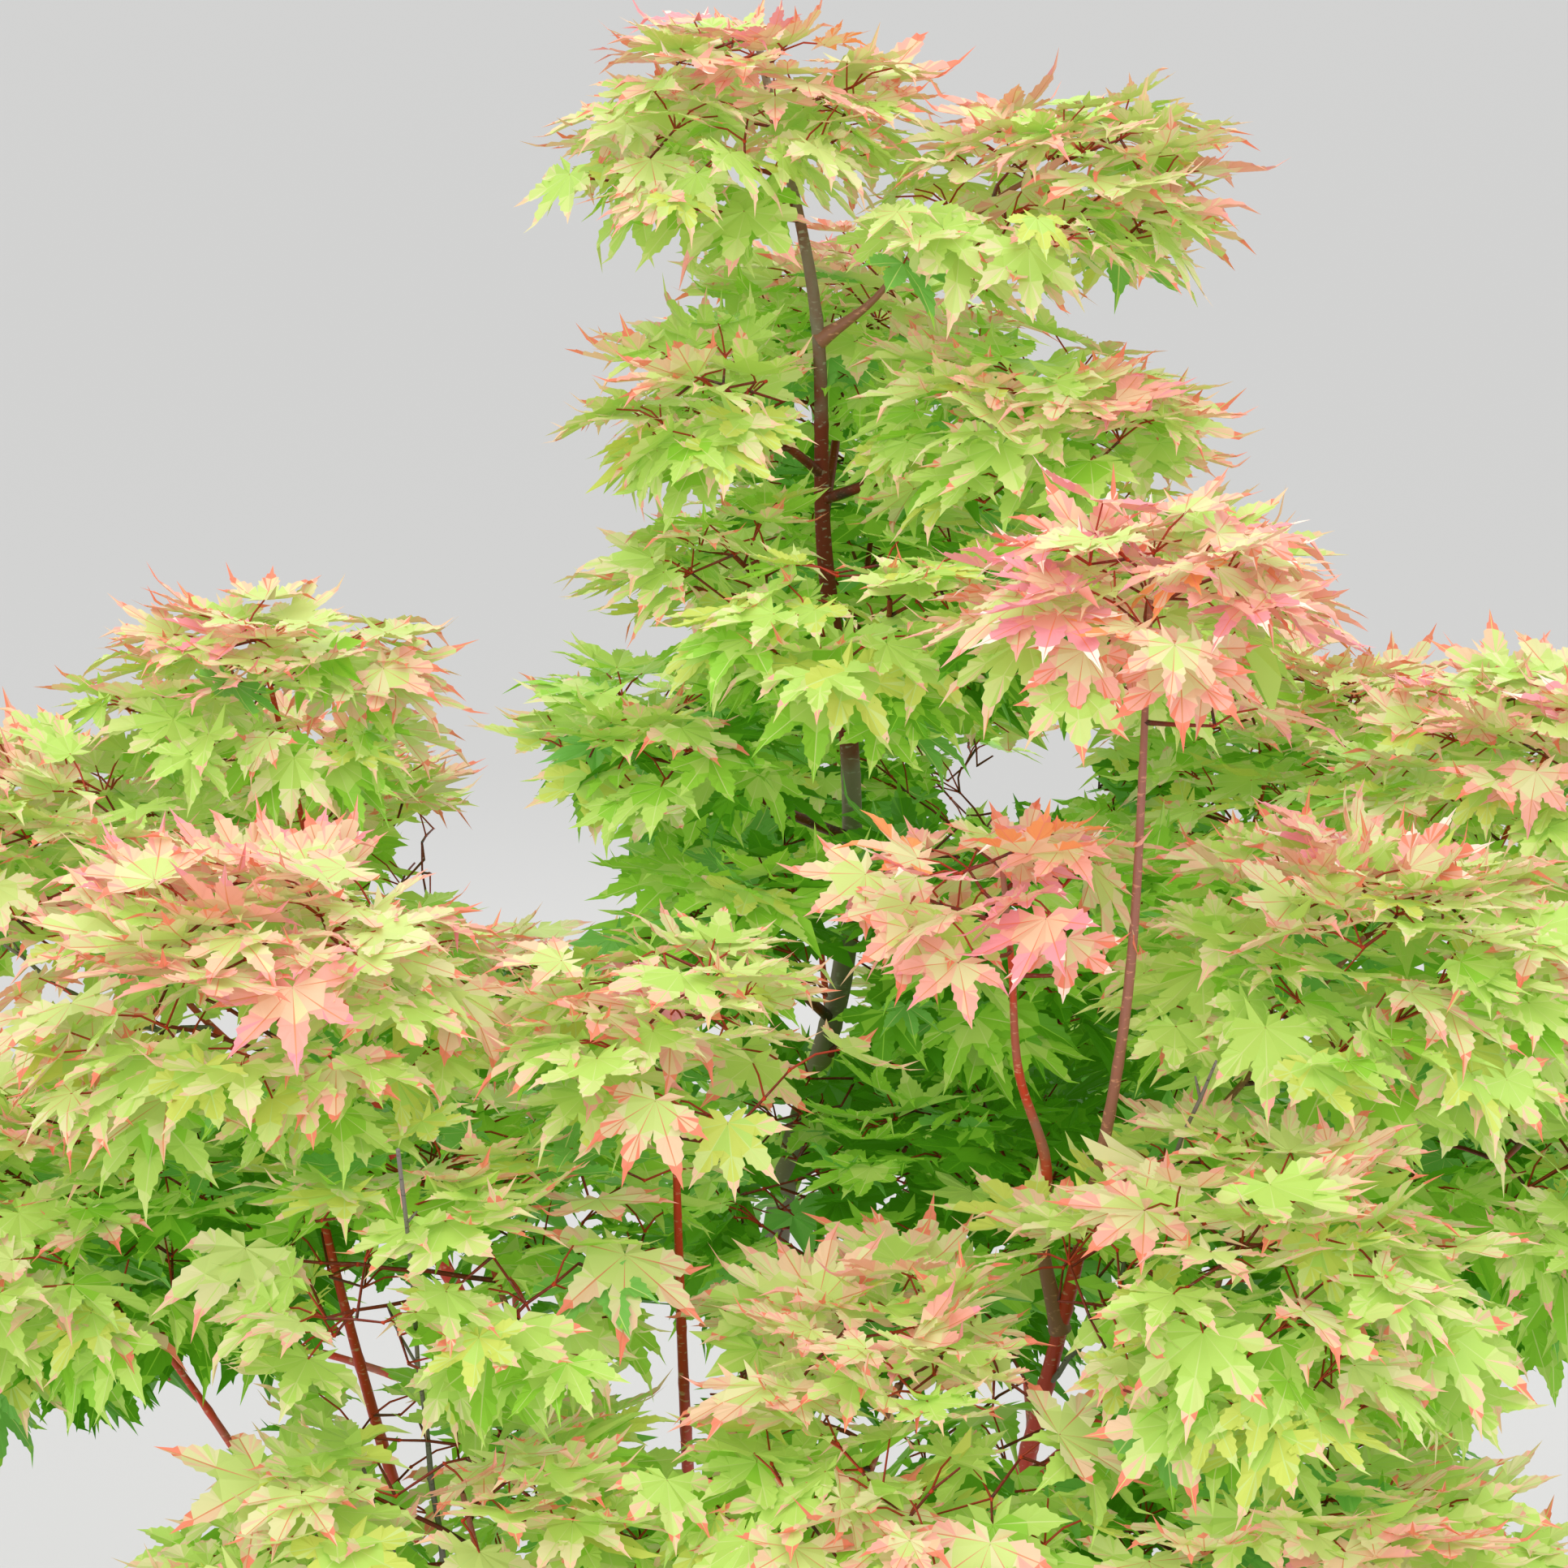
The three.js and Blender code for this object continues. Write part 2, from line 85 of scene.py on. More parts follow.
GOLDEN_ANGLE = 137.508
GOLDEN_SHARE = 0.618
FIRST_SEED = 101
SEED_STEP = 37
# The other seeds, for what the solids don't have.
TRUNK_SEED = 5
LIMB_SEED = 40
DEAD_TWIG_SEED = 31
STUB_SEED = 32
LEAF_SEED = 77
COLOUR_SEED = 900

# The mass at the trunk's tip, and those on stems from the trunk: the height where the stem leaves it, and the
# mass's centre and radius.
TOP = ("top", (-28, 60, 1546), 137)
SPRAYS = [
    ("second_left", 1338, (-36, 5, 1382), 102),
    ("second_right", 1322, (148, 5, 1364), 132),
    ("second_back", 1306, (40, 185, 1400), 128),
    ("third_left", 1222, (-30, -10, 1284), 97),
    ("third_front", 1206, (60, -95, 1268), 122),
    ("third_right", 1190, (192, 12, 1264), 148),
    ("third_back", 1174, (60, 220, 1262), 150),
    ("arm_left", 1105, (-78, -42, 1186), 107),
    ("inner_right", 960, (135, 0, 1065), 146),
    ("inner_left", 985, (-22, -50, 1082), 112),
    ("inner_low", 800, (75, -30, 905), 172),
]
# The boughs with the masses at their tips, and how they bow outward and upward.
BOUGHS = [
    ("top_right", 1420, (162, 48, 1500), 139, (0.5, 0.6)),
    ("right", 520, (468, 30, 1140), 168, (0.85, 0.45)),
    ("front_right", 330, (188, -270, 1315), 114, (1.1, 0.42)),
    ("front", 400, (-58, -310, 1100), 116, BOUGH_BOW),
    ("front_left", 300, (-268, -300, 1118), 145, (0.82, 0.42)),
    ("left", 560, (-312, 0, 1214), 127, (0.9, 0.42)),
    ("back_left", 450, (-330, 215, 1060), 155, BOUGH_BOW),
    ("back", 600, (40, 340, 1085), 170, BOUGH_BOW),
    ("back_right", 380, (335, 250, 1095), 170, BOUGH_BOW),
]
# The branches: the bough that each leaves, at a share of the bough's length, and then as for boughs.
BRANCHES = [
    ("red_spray", "front_right", 0.66, (112, -300, 1172), 98, (0.45, 0.5)),
    ("right_front", "front_right", 0.72, (315, -215, 1100), 146, (0.6, 0.45)),
    ("left_edge", "left", 0.6, (-420, -60, 1116), 146, BRANCH_BOW),
    ("middle_right", "right", 0.5, (450, -150, 985), 172, BRANCH_BOW),
    ("middle_front", "front_right", 0.52, (228, -350, 975), 154, (0.7, 0.4)),
    ("middle_left", "front_left", 0.55, (-385, -235, 975), 162, (0.7, 0.4)),
    ("front_left_inner", "front", 0.55, (-160, -325, 990), 150, BRANCH_BOW),
    ("low_front_right", "front_right", 0.36, (245, -385, 835), 172, BRANCH_BOW),
    ("low_front", "front", 0.4, (58, -372, 905), 166, BRANCH_BOW),
    ("low_front_left", "front_left", 0.36, (-165, -375, 845), 168, BRANCH_BOW),
    ("low_left", "left", 0.3, (-440, -20, 855), 170, BRANCH_BOW),
    ("low_right", "right", 0.3, (440, 100, 850), 178, BRANCH_BOW),
    ("low_back_left", "back_left", 0.38, (-215, 310, 870), 178, BRANCH_BOW),
    ("low_back_right", "back_right", 0.38, (205, 335, 865), 178, BRANCH_BOW),
]

# The leaf pieces, each with the masses that it stands for.
LEAF_PIECES = {
    "leaves_top": "top top_right second_left second_right second_back",
    "leaves_upper": "third_left third_front third_right third_back arm_left",
    "leaves_front_right": "front_right red_spray right_front middle_front low_front_right",
    "leaves_front_left": "front front_left front_left_inner middle_left low_front_left low_front",
    "leaves_left": "left left_edge low_left back_left low_back_left",
    "leaves_right": "right middle_right low_right back_right low_back_right",
    "leaves_inner": "inner_right inner_left inner_low back",
}

# Bark: how much slimmer the limbs and the trunk are at their tips than the solids, rings, swollen nodes as
# spacing and height, and furrows as waves round the trunk, their phase and the height of a turn.
LIMB_SLENDER = 0.28
TRUNK_SLENDER = 0.2
TRUNK_RINGS = 350
TRUNK_CORNERS = 28
TRUNK_NODES = (58, 0.09)
FURROWS = ((5, 0.4, 90), (8, 2.1, -60), (13, 4.0, 41))
FURROW_DEPTH = 0.05
LIMB_RING_SPACING = 6
LIMB_CORNERS = 12
LIMB_NODES = (46, 0.16)
NODE_WIDTH = 2.2
FIRST_NODE = (0.6, 1)
NODE_GAPS = (0.7, 1.3)
# A limb's furrows: depth, waves round it, the length of a turn, and whether each limb has its own phase.
LIMB_FURROWS = ((0.035, 3, 47, 1), (0.02, 5, -31, 0))
# What lies at a limb's root, as strength there and the length in which it fades: a collar and old bark.
COLLAR = (0.55, 16)
ROOT_AGE = (0.85, 170)
# How old its bark looks along it, how much older near its tip and from which share, and the twigs' bark.
LIMB_AGE = 0.12
TIP_AGE = (0.5, 0.7)
TWIG_AGE = (0.6, 0.0)
# How old the trunk's bark looks at some heights, from red at 0 to grey at 1.
TRUNK_AGES = ((0, 900, 1130, 1220, 1330, 1420), (0.9, 0.9, 0.75, 0.1, 0.3, 0.54))
# Limbs whose bark has lost its red: the share from which it has, and how old it looks from there.
WEATHERED = {"front_right": (0.66, 0.72), "red_spray": (0.0, 0.54), "top_right": (0.0, 0.85)}
WEATHERING = 12

# How far a tube's tip stands out, as a share of its radius.
POINTEDNESS = 0.6

# Bare dead twigs: the limb that each one stands on, the share of the limb where it does, and its tip.
DEAD_TWIGS = [
    ("front_left", 0.52, (-185, -438, 1090)),
    ("front_left", 0.46, (-212, -400, 905)),
    ("front_right", 0.62, (222, -322, 1095)),
    ("left_edge", 0.9, (-440, -150, 1105)),
]
DEAD_TWIG_RADII = (2.1, 0.9)
DEAD_TWIG_POINTS = 14
DEAD_TWIG_STRAY = 2.6
DEAD_TWIG_SAG = 0.1
DEAD_TWIG_SWELLING = (0.85, 1.25)
DEAD_TWIG_AGE = 0.9
FIRST_STUB = 4
STUB_RISE = (20, 70)
STUB_LENGTH = (6, 26)
STUB_SHARES = (0.0, 0.5, 1.0)
STUB_RADII = (0.9, 0.8, 0.5)

# Twigs of true size.
MAIN_TWIGS = 5
RADIUS_PER_MAIN_TWIG = 60
MAIN_TWIG_RADIUS = 1.5
TWIG_ROOT_RADIUS = 1.05
TWIG_TIP_RADIUS = 0.75
NODE_SPACING = 21
ZIGZAG = 7
HEADING_STRAY = 3
LEVEL_RISE = 6
LEVELLING = 0.2
TWIG_STOPS_SHORT = 50
LEAST_TWIG = 16
LEAFY_SHARE = 0.4
STEM_POINTS = 14
# The shell in a mass on which its twigs end: the area for each, its lowest and highest slope, how far it
# lies inside the space across and upward, how it strays, and the shares tried for a tip that has no room.
TIP_AREA = 1600
LEAST_TIPS = 12
TIP_SLOPES = (-0.62, 0.97)
TIP_INSET = (58, 27)
TIP_SCATTER = (0.84, 1.1)
TIP_SHARES = (1.0, 0.88, 0.76, 0.64, 0.5)
LEAST_ROOM = 26
AREA_POWER = 1.6
# How much narrower the top of a mass is than its middle, and how far some masses stay inside their space.
PEAK = {"top": 0.62, "top_right": 0.4, "second_left": 0.3, "left": 0.35, "left_edge": 0.3}
USUAL_PEAK = 0.18
TRIM = {
    "top": 12, "top_right": 20, "second_right": 10, "left": 16, "right": 20, "left_edge": 10,
    "front_right": 8, "front_left": 4, "third_right": 8,
}

# How leaves stand on a twig: how far the stalk points out of its line, how far it rises, and how far the
# blade turns, for the pair at the tip, for flat pairs, and for the two leaves of an upright pair.
TIP_PAIR = ((26, 50), (6, 30), (18, 60))
FLAT_PAIR = ((52, 80), (2, 30), (18, 60))
UPPER_LEAF = ((5, 35), (35, 62), (-35, 35))
LOWER_LEAF = ((5, 35), (-44, -12), (-35, 35))
# The further leaves at a twig's tip: where their stalks point and how they rise, and how both stray.
TUFT = ((0, 20), (-75, 48), (75, -25))
TUFT_STRAY = (15, 14)
STALK_LENGTH = (17, 34)
STALK_SHARES = (1.0, 0.72, 0.5)
STALK_RADII = (0.75, 0.6)
STALK_ARCH = 0.09
# A scale at a node: where it starts and ends along the twig, and its radii as shares of the twig's.
SCALE_ENDS = (-2.2, 0.2)
SCALE_RADII = (0.8, 1.75)
LEAF_LENGTH = 52
LEAF_SIZE = 1.06
TIP_LEAF_LOSS = 0.16
SIZE_STRAY = 0.14
SIZE_LIMITS = (0.58, 1.16)
BLADE_MIDDLE = 0.45
# The blades droop at the foot of a mass and stand up at its top.
DROOP = (44, -34)
DROOP_HEIGHTS = (-0.8, 0.9)
DROOP_POWER = 1.7
DROOP_STRAY = 14
# How near leaves may come to each other and to limbs, how far past their space and the solids' box, and the
# height that they stay below.
LEAF_CLEARANCE = 14
LIMB_CLEARANCE = 9
EDGE_ALLOWANCE = 18
BOX_ALLOWANCE = 27
CROWN_TOP = 1612

# The camera, and what the leaves leave in its sight. Stretches of stem: the limb, its lowest and highest
# height there, and half the width of the gap in the leaves before it.
CAMERA_PLACE = (0, -1900, 1635)
CAMERA_TILT = 14
CAMERA_LENS = 74.3
SENSOR_WIDTH = 36
STRETCH_DEPTH = 520
DEAD_TWIG_CLEARANCE = 13
BARE_STRETCHES = [
    ("trunk", 1345, 1500, 22), ("trunk", 1235, 1300, 20), ("trunk", 945, 1035, 24), ("trunk", 830, 900, 26),
    ("front", 850, 1105, 27), ("front_left", 820, 965, 30), ("front_right", 820, 935, 29),
    ("front_right", 1030, 1110, 26), ("front_right", 1150, 1320, 24), ("red_spray", 1040, 1160, 24),
]
# Gaps right through the crown: a point in each, and half its width and height.
CROWN_GAPS = [
    ((-165, 0, 1126), 42, 62), ((-126, 0, 1086), 36, 34), ((92, 0, 1128), 34, 18),
    ((-318, -200, 836), 34, 46), ((-120, -200, 968), 16, 28), ((-128, 60, 1614), 34, 32),
    ((-112, 60, 1578), 20, 26), ((-222, 0, 1112), 30, 34), ((112, 0, 1158), 44, 30),
    ((172, 0, 1166), 30, 30), ((274, 48, 1486), 22, 34), ((286, -270, 1362), 18, 30),
]

# The leaf's outline, as shares of its middle lobe, and how its lobes stray from it.
LOBE_ANGLES = (0, 42, -42, 84, -84, 130, -130)
LOBE_LENGTHS = (1.0, 0.93, 0.93, 0.7, 0.7, 0.3, 0.3)
SINUS_RADII = {(0, 42): 0.35, (42, 84): 0.32, (84, 130): 0.18}
SINUS_RIDGE = 0.07
SINUS_ZONE = 0.3
LOBE_WIDTH = 0.157
LOBE_SHAPE = ((0.3, 0.42, 0.53, 0.66, 0.8, 0.9, 1.0), (0.66, 0.92, 1.0, 0.78, 0.37, 0.12, 0.0))
SMALL_LOBE = 0.5
SMALL_LOBE_SIDE = (0.5, 0.2, 0.03)
SMALL_LOBE_ZONE = 0.5
OUTER_ZONE = 0.1
VEIN_HALF = 0.011
VEIN_TAPER = 0.7
STRETCH_STRAY = 0.05
ANGLE_STRAY = 3.5
CURL_STRAY = 0.22
LEAST_CURL = 0.05
TAIL_FROM = 0.72
TAIL_STRAY = 1.1
EDGE_STRAY = 0.006
# How the leaves differ: their roll, how far lobes bend down at the foot of a mass and up at its top, how far
# they fold and spread, and how far the zones of their colours stray, by face and by leaf.
ROLL_STRAY = 13
BEND = (0.4, -0.5)
BEND_HEIGHTS = (-0.6, 0.9)
BEND_STRAY = 0.25
FOLD = (0.05, 0.5)
SPREAD = (0.92, 1.12)
ZONE_STRAY = (0.05, 0.06)
# The points of a lobe's edge, as share of its length and share of its width there: toothed, and plain for
# the leaves that stand behind others.
TOOTHED_EDGE = (
    (0.44, 1.0), (0.475, 0.83), (0.56, 1.0), (0.595, 0.8),
    (0.68, 1.0), (0.715, 0.76), (0.8, 1.0), (0.83, 0.66),
)
TOOTHED_RIB = (0.42, 0.74)
PLAIN_EDGE = ((0.5, 0.97), (0.8, 0.9))

# Which leaves count as seen, for their edges, and which as shaded: views as azimuth and rise, and the width
# of a line of sight.
SIGHT_CELL = 30
FRONT_VIEW = (-90, CAMERA_TILT)
FRONT_LAYERS = 3
OTHER_VIEWS = [(azimuth, CAMERA_TILT) for azimuth in range(-45, 270, 45)] + [(-90, 45), (90, 45), (0, 89)]
SKY_VIEWS = [(azimuth, 45) for azimuth in range(0, 360, 45)] + [(0, 89)]
BEST_SKY_VIEWS = 3

# Barks: their colours for young wood, old wood and marks, the scale of their blotches and their roughness.
BARKS = {
    "trunk_bark": ((136, 54, 36), (152, 138, 128), (184, 174, 164), 26, 0.8),
    "coral_bark": ((216, 62, 38), (172, 112, 98), (226, 160, 134), 34, 0.5),
    "twig_bark": ((142, 48, 34), (78, 52, 46), (150, 110, 96), 60, 0.6),
    "dead_bark": ((96, 88, 84), (132, 124, 116), (70, 62, 58), 60, 0.85),
}
# Stalks, scales and leaves: their colours, as sRGB like all others, and their roughness. The floor shares
# their gloss.
STALK_RED = (186, 64, 42)
SCALE_RED = (214, 66, 36)
ROUGHNESS = 0.5
GLOSS = 0.35
LEAF_COLOURS = {
    # The deep and green ones go to shaded leaves, darker partly as painted shade.
    "deep": (74, 142, 18),
    "green": (98, 164, 30),
    "fresh": (146, 200, 60),
    "lime": (178, 210, 98),
    "pale": (198, 214, 126),
    "cream": (216, 212, 156),
    "blush": (228, 192, 156),
    "pink": (232, 166, 148),
    "coral": (232, 132, 104),
    "rose": (230, 150, 156),
    "orange": (236, 150, 90),
    "bleached": (244, 226, 208),
    "gold": (196, 208, 94),
    "cool": (120, 184, 80),
    "vein_pale": (194, 214, 126),
    "vein_red": (214, 140, 100),
}
# The colours of a leaf's vein, heart, blade, outer blade, near the tips, and at the tips.
PALETTES = {
    "deep": "green green deep deep deep green",
    "green": "fresh fresh green green green fresh",
    "cool": "vein_pale cool cool cool cool fresh",
    "fresh": "vein_pale lime fresh fresh fresh lime",
    "lime": "vein_pale fresh lime lime lime pale",
    "golden": "vein_pale lime gold gold pale blush",
    "limepale": "vein_pale lime lime pale cream blush",
    "limetip": "vein_pale lime lime lime pale pink",
    "limecoral": "vein_pale lime lime pale blush coral",
    "palest": "vein_pale pale pale cream blush pink",
    "cream": "vein_red pale pale cream blush coral",
    "blushed": "vein_red pale cream blush pink coral",
    "pinked": "vein_red cream blush pink pink rose",
    "rosy": "coral blush pink rose rose bleached",
    "orange": "coral cream blush orange orange coral",
    "coral": "vein_red cream blush pink coral bleached",
}
# A vein's zone, and the limits between the zones that take a palette's colours.
VEIN = -9
ZONE_LIMITS = (-1, 0.3, 0.54, 0.7, 0.86)
# The leaves' painted glow: they give off light of their own, standing for light let through thin leaves,
# which also lightens their shade.
LEAF_PAINTED_GLOW = 0.18
# The palettes in order of blush for leaves in the light, and from light to deep for shaded ones. The deeper
# greens are partly the colour that shade leaves really have and partly painted shade.
BLUSH_SCALE = (
    "fresh lime golden lime limetip lime limepale golden limecoral limepale limecoral palest "
    "cream limecoral blushed cream blushed pinked blushed rosy pinked coral rosy orange"
).split()
SHADE_SCALE = "lime fresh cool fresh fresh green cool green deep deep".split()
SHADED_FROM = 0.62
# The leaves of a spray of this size share a tone. Single leaves stray from it, and their blush follows their
# height, youth and shade, each with a strength from a usual value.
SPRAY_SIZE = 45
TONE_STRAY = 0.1
TONE_IN_SHADE = 0.5
SHADE_STRAY = 0.07
BLUSH_STRAY = 0.08
BLUSH_BY_HEIGHT = (0.3, 0.25)
BLUSH_BY_YOUTH = (0.12, 0.6)
BLUSH_BY_SHADE = (-0.6, 1 / 3)
# How far each mass has turned from lime to coral and rose, from 0 to 1.
BLUSH = {
    "top": 0.44, "top_right": 0.44, "second_right": 0.36, "third_right": 0.32, "second_left": 0.3,
    "front_right": 0.64, "red_spray": 0.66, "right_front": 0.36, "right": 0.36, "front": 0.35,
    "front_left": 0.44, "left_edge": 0.36, "left": 0.32, "middle_left": 0.24, "low_front_right": 0.38,
    "middle_front": 0.32, "low_front": 0.34, "inner_left": 0.0, "inner_right": 0.02, "inner_low": 0.0,
    "third_front": 0.18, "arm_left": 0.16, "second_back": 0.26, "third_back": 0.2,
}
USUAL_BLUSH = 0.28
# How much deeper in the shade the leaves of the inner masses stand, so that they get darker greens: partly
# the colour of shade leaves, partly painted shade.
DEEPER_SHADE = {
    "inner_left": 0.22, "inner_right": 0.25, "inner_low": 0.28, "back": 0.2, "arm_left": 0.15,
    "third_left": 0.2, "third_front": 0.15, "third_back": 0.1,
}

# The stage, with lengths in metres: half the floor's width, and how far the camera sees. The sky is as bright
# at the horizon as the far floor, and brighter overhead.
FLOOR_HALF = 450
CAMERA_REACH = 2000
FLOOR_COLOUR = (206, 205, 203)
FLOOR_ROUGHNESS = 0.9
SKY_COLOUR = (0.98, 0.99, 1.0, 1)
SKY_AT_HORIZON = 0.63
SKY_OVERHEAD = 1.25
# Each soft light: its name, place, size and power in watts. All aim at one point.
LIGHTS = [
    ("light_over", (0.3, -0.9, 4.2), 3.0, 25),
    ("light_front", (-1.2, -3.6, 2.1), 3.2, 33),
    ("light_back", (1.2, 3.2, 2.4), 3.0, 21),
]
LIGHTS_AIM = (0.0, 0.0, 1.1)


class Dice:
    """The repeatable run of numbers that the solids' rule draws from."""

    def __init__(self, seed):
        self.state = seed

    def roll(self):
        self.state = (self.state * 1664525 + 1013904223) % 2**32
        return self.state / 2**32


class Curve:
    """A centripetal spline through points, read by the share of its length."""

    SAMPLES = 200

    def __init__(self, points):
        knots = np.array(points, float)
        self.knots = np.vstack([2 * knots[0] - knots[1], knots, 2 * knots[-1] - knots[-2]])
        self.parameters = np.linspace(0, 1, self.SAMPLES + 1)
        steps = size_of(np.diff(self.at_parameter(self.parameters), axis=0))
        self.lengths = np.concatenate([[0], np.cumsum(steps)])
        self.length = self.lengths[-1]

    def at_parameter(self, t):
        spans = len(self.knots) - 3
        place = np.clip(np.atleast_1d(t) * spans, 0, spans)
        i = np.minimum(place.astype(int), spans - 1)
        w = (place - i)[:, None]
        p0, p1, p2, p3 = (self.knots[i + k] for k in range(4))
        steps = (p1 - p0, p2 - p1, p3 - p2)
        d0, d1, d2 = (size_of(step)[:, None] ** 0.5 for step in steps)
        m1 = ((p1 - p0) / d0 - (p2 - p0) / (d0 + d1) + (p2 - p1) / d1) * d1
        m2 = ((p2 - p1) / d1 - (p3 - p1) / (d1 + d2) + (p3 - p2) / d2) * d1
        return p1 + m1 * w + (3 * (p2 - p1) - 2 * m1 - m2) * w**2 + (2 * (p1 - p2) + m1 + m2) * w**3

    def at(self, share):
        """The points at an array of shares of the length, or the point at one share."""
        t = np.interp(np.atleast_1d(share) * self.length, self.lengths, self.parameters)
        points = self.at_parameter(t)
        return points if np.ndim(share) else points[0]


def size_of(v):
    """The length of a vector, or of each in an array of them."""
    return np.linalg.norm(v, axis=-1)


def unit(v):
    return v / np.maximum(size_of(v)[..., None], 1e-9)


def lerp(a, b, t):
    return a + (b - a) * t


def share_between(value, ends):
    """How far a value has come from one end to the other, from 0 to 1."""
    return np.clip((value - ends[0]) / (ends[1] - ends[0]), 0, 1)


def polar(azimuth, rise):
    """A unit vector at an azimuth and a rise, or an array of them."""
    azimuth, rise = np.broadcast_arrays(np.radians(azimuth), np.radians(rise))
    return np.stack([np.cos(rise) * np.cos(azimuth), np.cos(rise) * np.sin(azimuth), np.sin(rise)], axis=-1)


trunk_curve = Curve(TRUNK_LINE)


def trunk_share(height):
    """The share of the trunk's length at which it reaches a height."""
    shares = np.linspace(0, 1, 4 * Curve.SAMPLES + 1)
    return float(np.interp(height, trunk_curve.at(shares)[:, 2], shares))


def flattened(points, centre):
    """Distance from a mass's centre, in a frame where its flattened space is a ball."""
    return size_of((points - centre) * (1, 1, FLATNESS))


def entry_share(curve, centre, radius):
    t = 1.0
    while t > 0 and flattened(curve.at(t), centre) < SPACE_ENTRY * radius:
        t -= ENTRY_STEP
    return max(t, 0.0)


def limb_curve(root, hub, bow, dice):
    """A limb's line from its root to a hub in its mass, bowed, with small bends along it."""
    span = hub - root
    bend = root + span * (bow[0], bow[0], bow[1])
    stray = LIMB_STRAY * size_of(span)
    points = []
    for i in range(LIMB_BENDS + 1):
        t = i / LIMB_BENDS
        point = root * (1 - t) ** 2 + bend * 2 * t * (1 - t) + hub * t**2
        shift = np.array([dice.roll() - 0.5 for _ in range(3)])
        points.append(point if i in (0, LIMB_BENDS) else point + 2 * stray * shift)
    return Curve(points)


class Mass:
    """A mass of foliage: the space that it keeps to, and the stem that its twigs grow from."""

    def __init__(self, name, at, radius, index):
        self.name = name
        self.centre = np.array(at, float)
        self.radius = radius
        self.hub = self.centre + (0, 0, HUB_RISE * radius)
        self.seed = FIRST_SEED + SEED_STEP * index
        self.curve = None
        self.start = 0.0


class Limb:
    """A bough or branch: its node, its line, the share where it enters its mass, and its radius along it."""

    def __init__(self, node, curve, end, growth):
        self.node = node
        self.curve = curve
        self.end = end
        self.growth = growth * curve.length

    def radius(self, share):
        way = np.minimum(share / self.end, 1)
        before = (LIMB_TIP_RADIUS + self.growth * (1 - way)) * (1 - LIMB_SLENDER * way)
        return lerp(before, MAIN_TWIG_RADIUS, np.clip((share - self.end) / (1 - self.end), 0, 1))


def plan_tree():
    """Every limb and mass, worked out as the solids are."""
    top = Mass(*TOP, 0)
    top.curve = trunk_curve
    top.start = entry_share(trunk_curve, top.centre, top.radius)
    rows = [(name, None, height, at, radius, SPRAY_BOW) for name, height, at, radius in SPRAYS]
    rows += [(name, None, *rest) for name, *rest in BOUGHS] + BRANCHES
    masses, limbs = [top], {}
    for index, (name, parent, where, at, radius, bow) in enumerate(rows, 1):
        mass = Mass(name, at, radius, index)
        masses.append(mass)
        if parent:
            root = limbs[parent].curve.at(where * limbs[parent].end)
        else:
            root = trunk_curve.at(trunk_share(where))
        mass.curve = limb_curve(root, mass.hub, bow, Dice(mass.seed))
        if index > len(SPRAYS):
            mass.start = entry_share(mass.curve, mass.centre, mass.radius)
            kind, growth = ("branch_", BRANCH_GROWTH) if parent else ("bough_", BOUGH_GROWTH)
            limbs[name] = Limb(kind + name, mass.curve, mass.start, growth)
    return limbs, masses


def room_at(points, mass, masses):
    """How far points lie inside the space of a mass, which ends halfway to its neighbours."""
    own = flattened(points, mass.centre)
    room = mass.radius - own
    for other in masses:
        if other is mass:
            continue
        apart = flattened(mass.centre, other.centre)
        if apart > mass.radius + other.radius:
            continue
        away = flattened(points, other.centre)
        side = (away**2 - other.radius**2 - own**2 + mass.radius**2) / (2 * apart)
        room = np.minimum(room, side - SPACE_GAP)
    return room


def reach_from(root, heading, mass, masses):
    distances = np.arange(0, 2 * mass.radius, 4.0)
    room = room_at(root + heading * distances[:, None], mass, masses)
    outside = np.nonzero(room <= 0)[0]
    return distances[outside[0]] if len(outside) else distances[-1]


class Leaf:
    """A leaf: the node and the scales that it grows from, its stalk's heading and the way that it faces."""

    def __init__(self, node, sheath, out, lift, face, mass, young):
        self.node = node
        self.sheath = sheath
        self.stalk_heading = polar(out, lift)
        self.face = face
        self.mass = mass
        self.young = young


class Growth:
    """What grows on the limbs: twigs as lines with radii, the scales at their nodes, and leaves."""

    def __init__(self):
        self.lines = []
        self.sheaths = []
        self.leaves = []


def grow_shoot(growth, mass, root, azimuth, rise, length, root_radius, leafy_from, rng):
    """One shoot with its nodes, each with a pair of leaves, and a last tuft of leaves at its tip."""
    count = max(1, int(round(length / NODE_SPACING)))
    points = [root]
    side = rng.choice((-1, 1))
    turned = rng.integers(2)
    for i in range(count):
        heading = azimuth + side * ZIGZAG * (-1) ** i + rng.normal(0, HEADING_STRAY)
        rise = lerp(rise, LEVEL_RISE, LEVELLING)
        points.append(points[-1] + polar(heading, rise) * length / count)
    points = np.array(points)
    radii = np.linspace(root_radius, TWIG_TIP_RADIUS, count + 1)
    growth.lines.append((points, radii))
    for i in range(1, count + 1):
        if i / count < leafy_from:
            continue
        tip = i == count
        flat = (i + turned) % 2 == 0
        sheath = len(growth.sheaths)
        growth.sheaths.append((points[i], unit(points[i] - points[i - 1]), radii[i]))
        for hand in (-1, 1):
            spans = TIP_PAIR if tip else FLAT_PAIR if flat else UPPER_LEAF if hand > 0 else LOWER_LEAF
            out, lift, turn = (rng.uniform(*span) for span in spans)
            face = azimuth + (hand * turn if tip or flat else turn)
            growth.leaves.append(Leaf(points[i], sheath, azimuth + hand * out, lift, face, mass, i / count))
        if tip:
            for out, lift in TUFT[: rng.integers(1, len(TUFT) + 1)]:
                out += azimuth + rng.uniform(-TUFT_STRAY[0], TUFT_STRAY[0])
                lift += rng.uniform(-TUFT_STRAY[1], TUFT_STRAY[1])
                face = lerp(azimuth, out, 0.5) + rng.uniform(-TUFT_STRAY[0], TUFT_STRAY[0])
                growth.leaves.append(Leaf(points[i], sheath, out, lift, face, mass, 1.0))
    return points


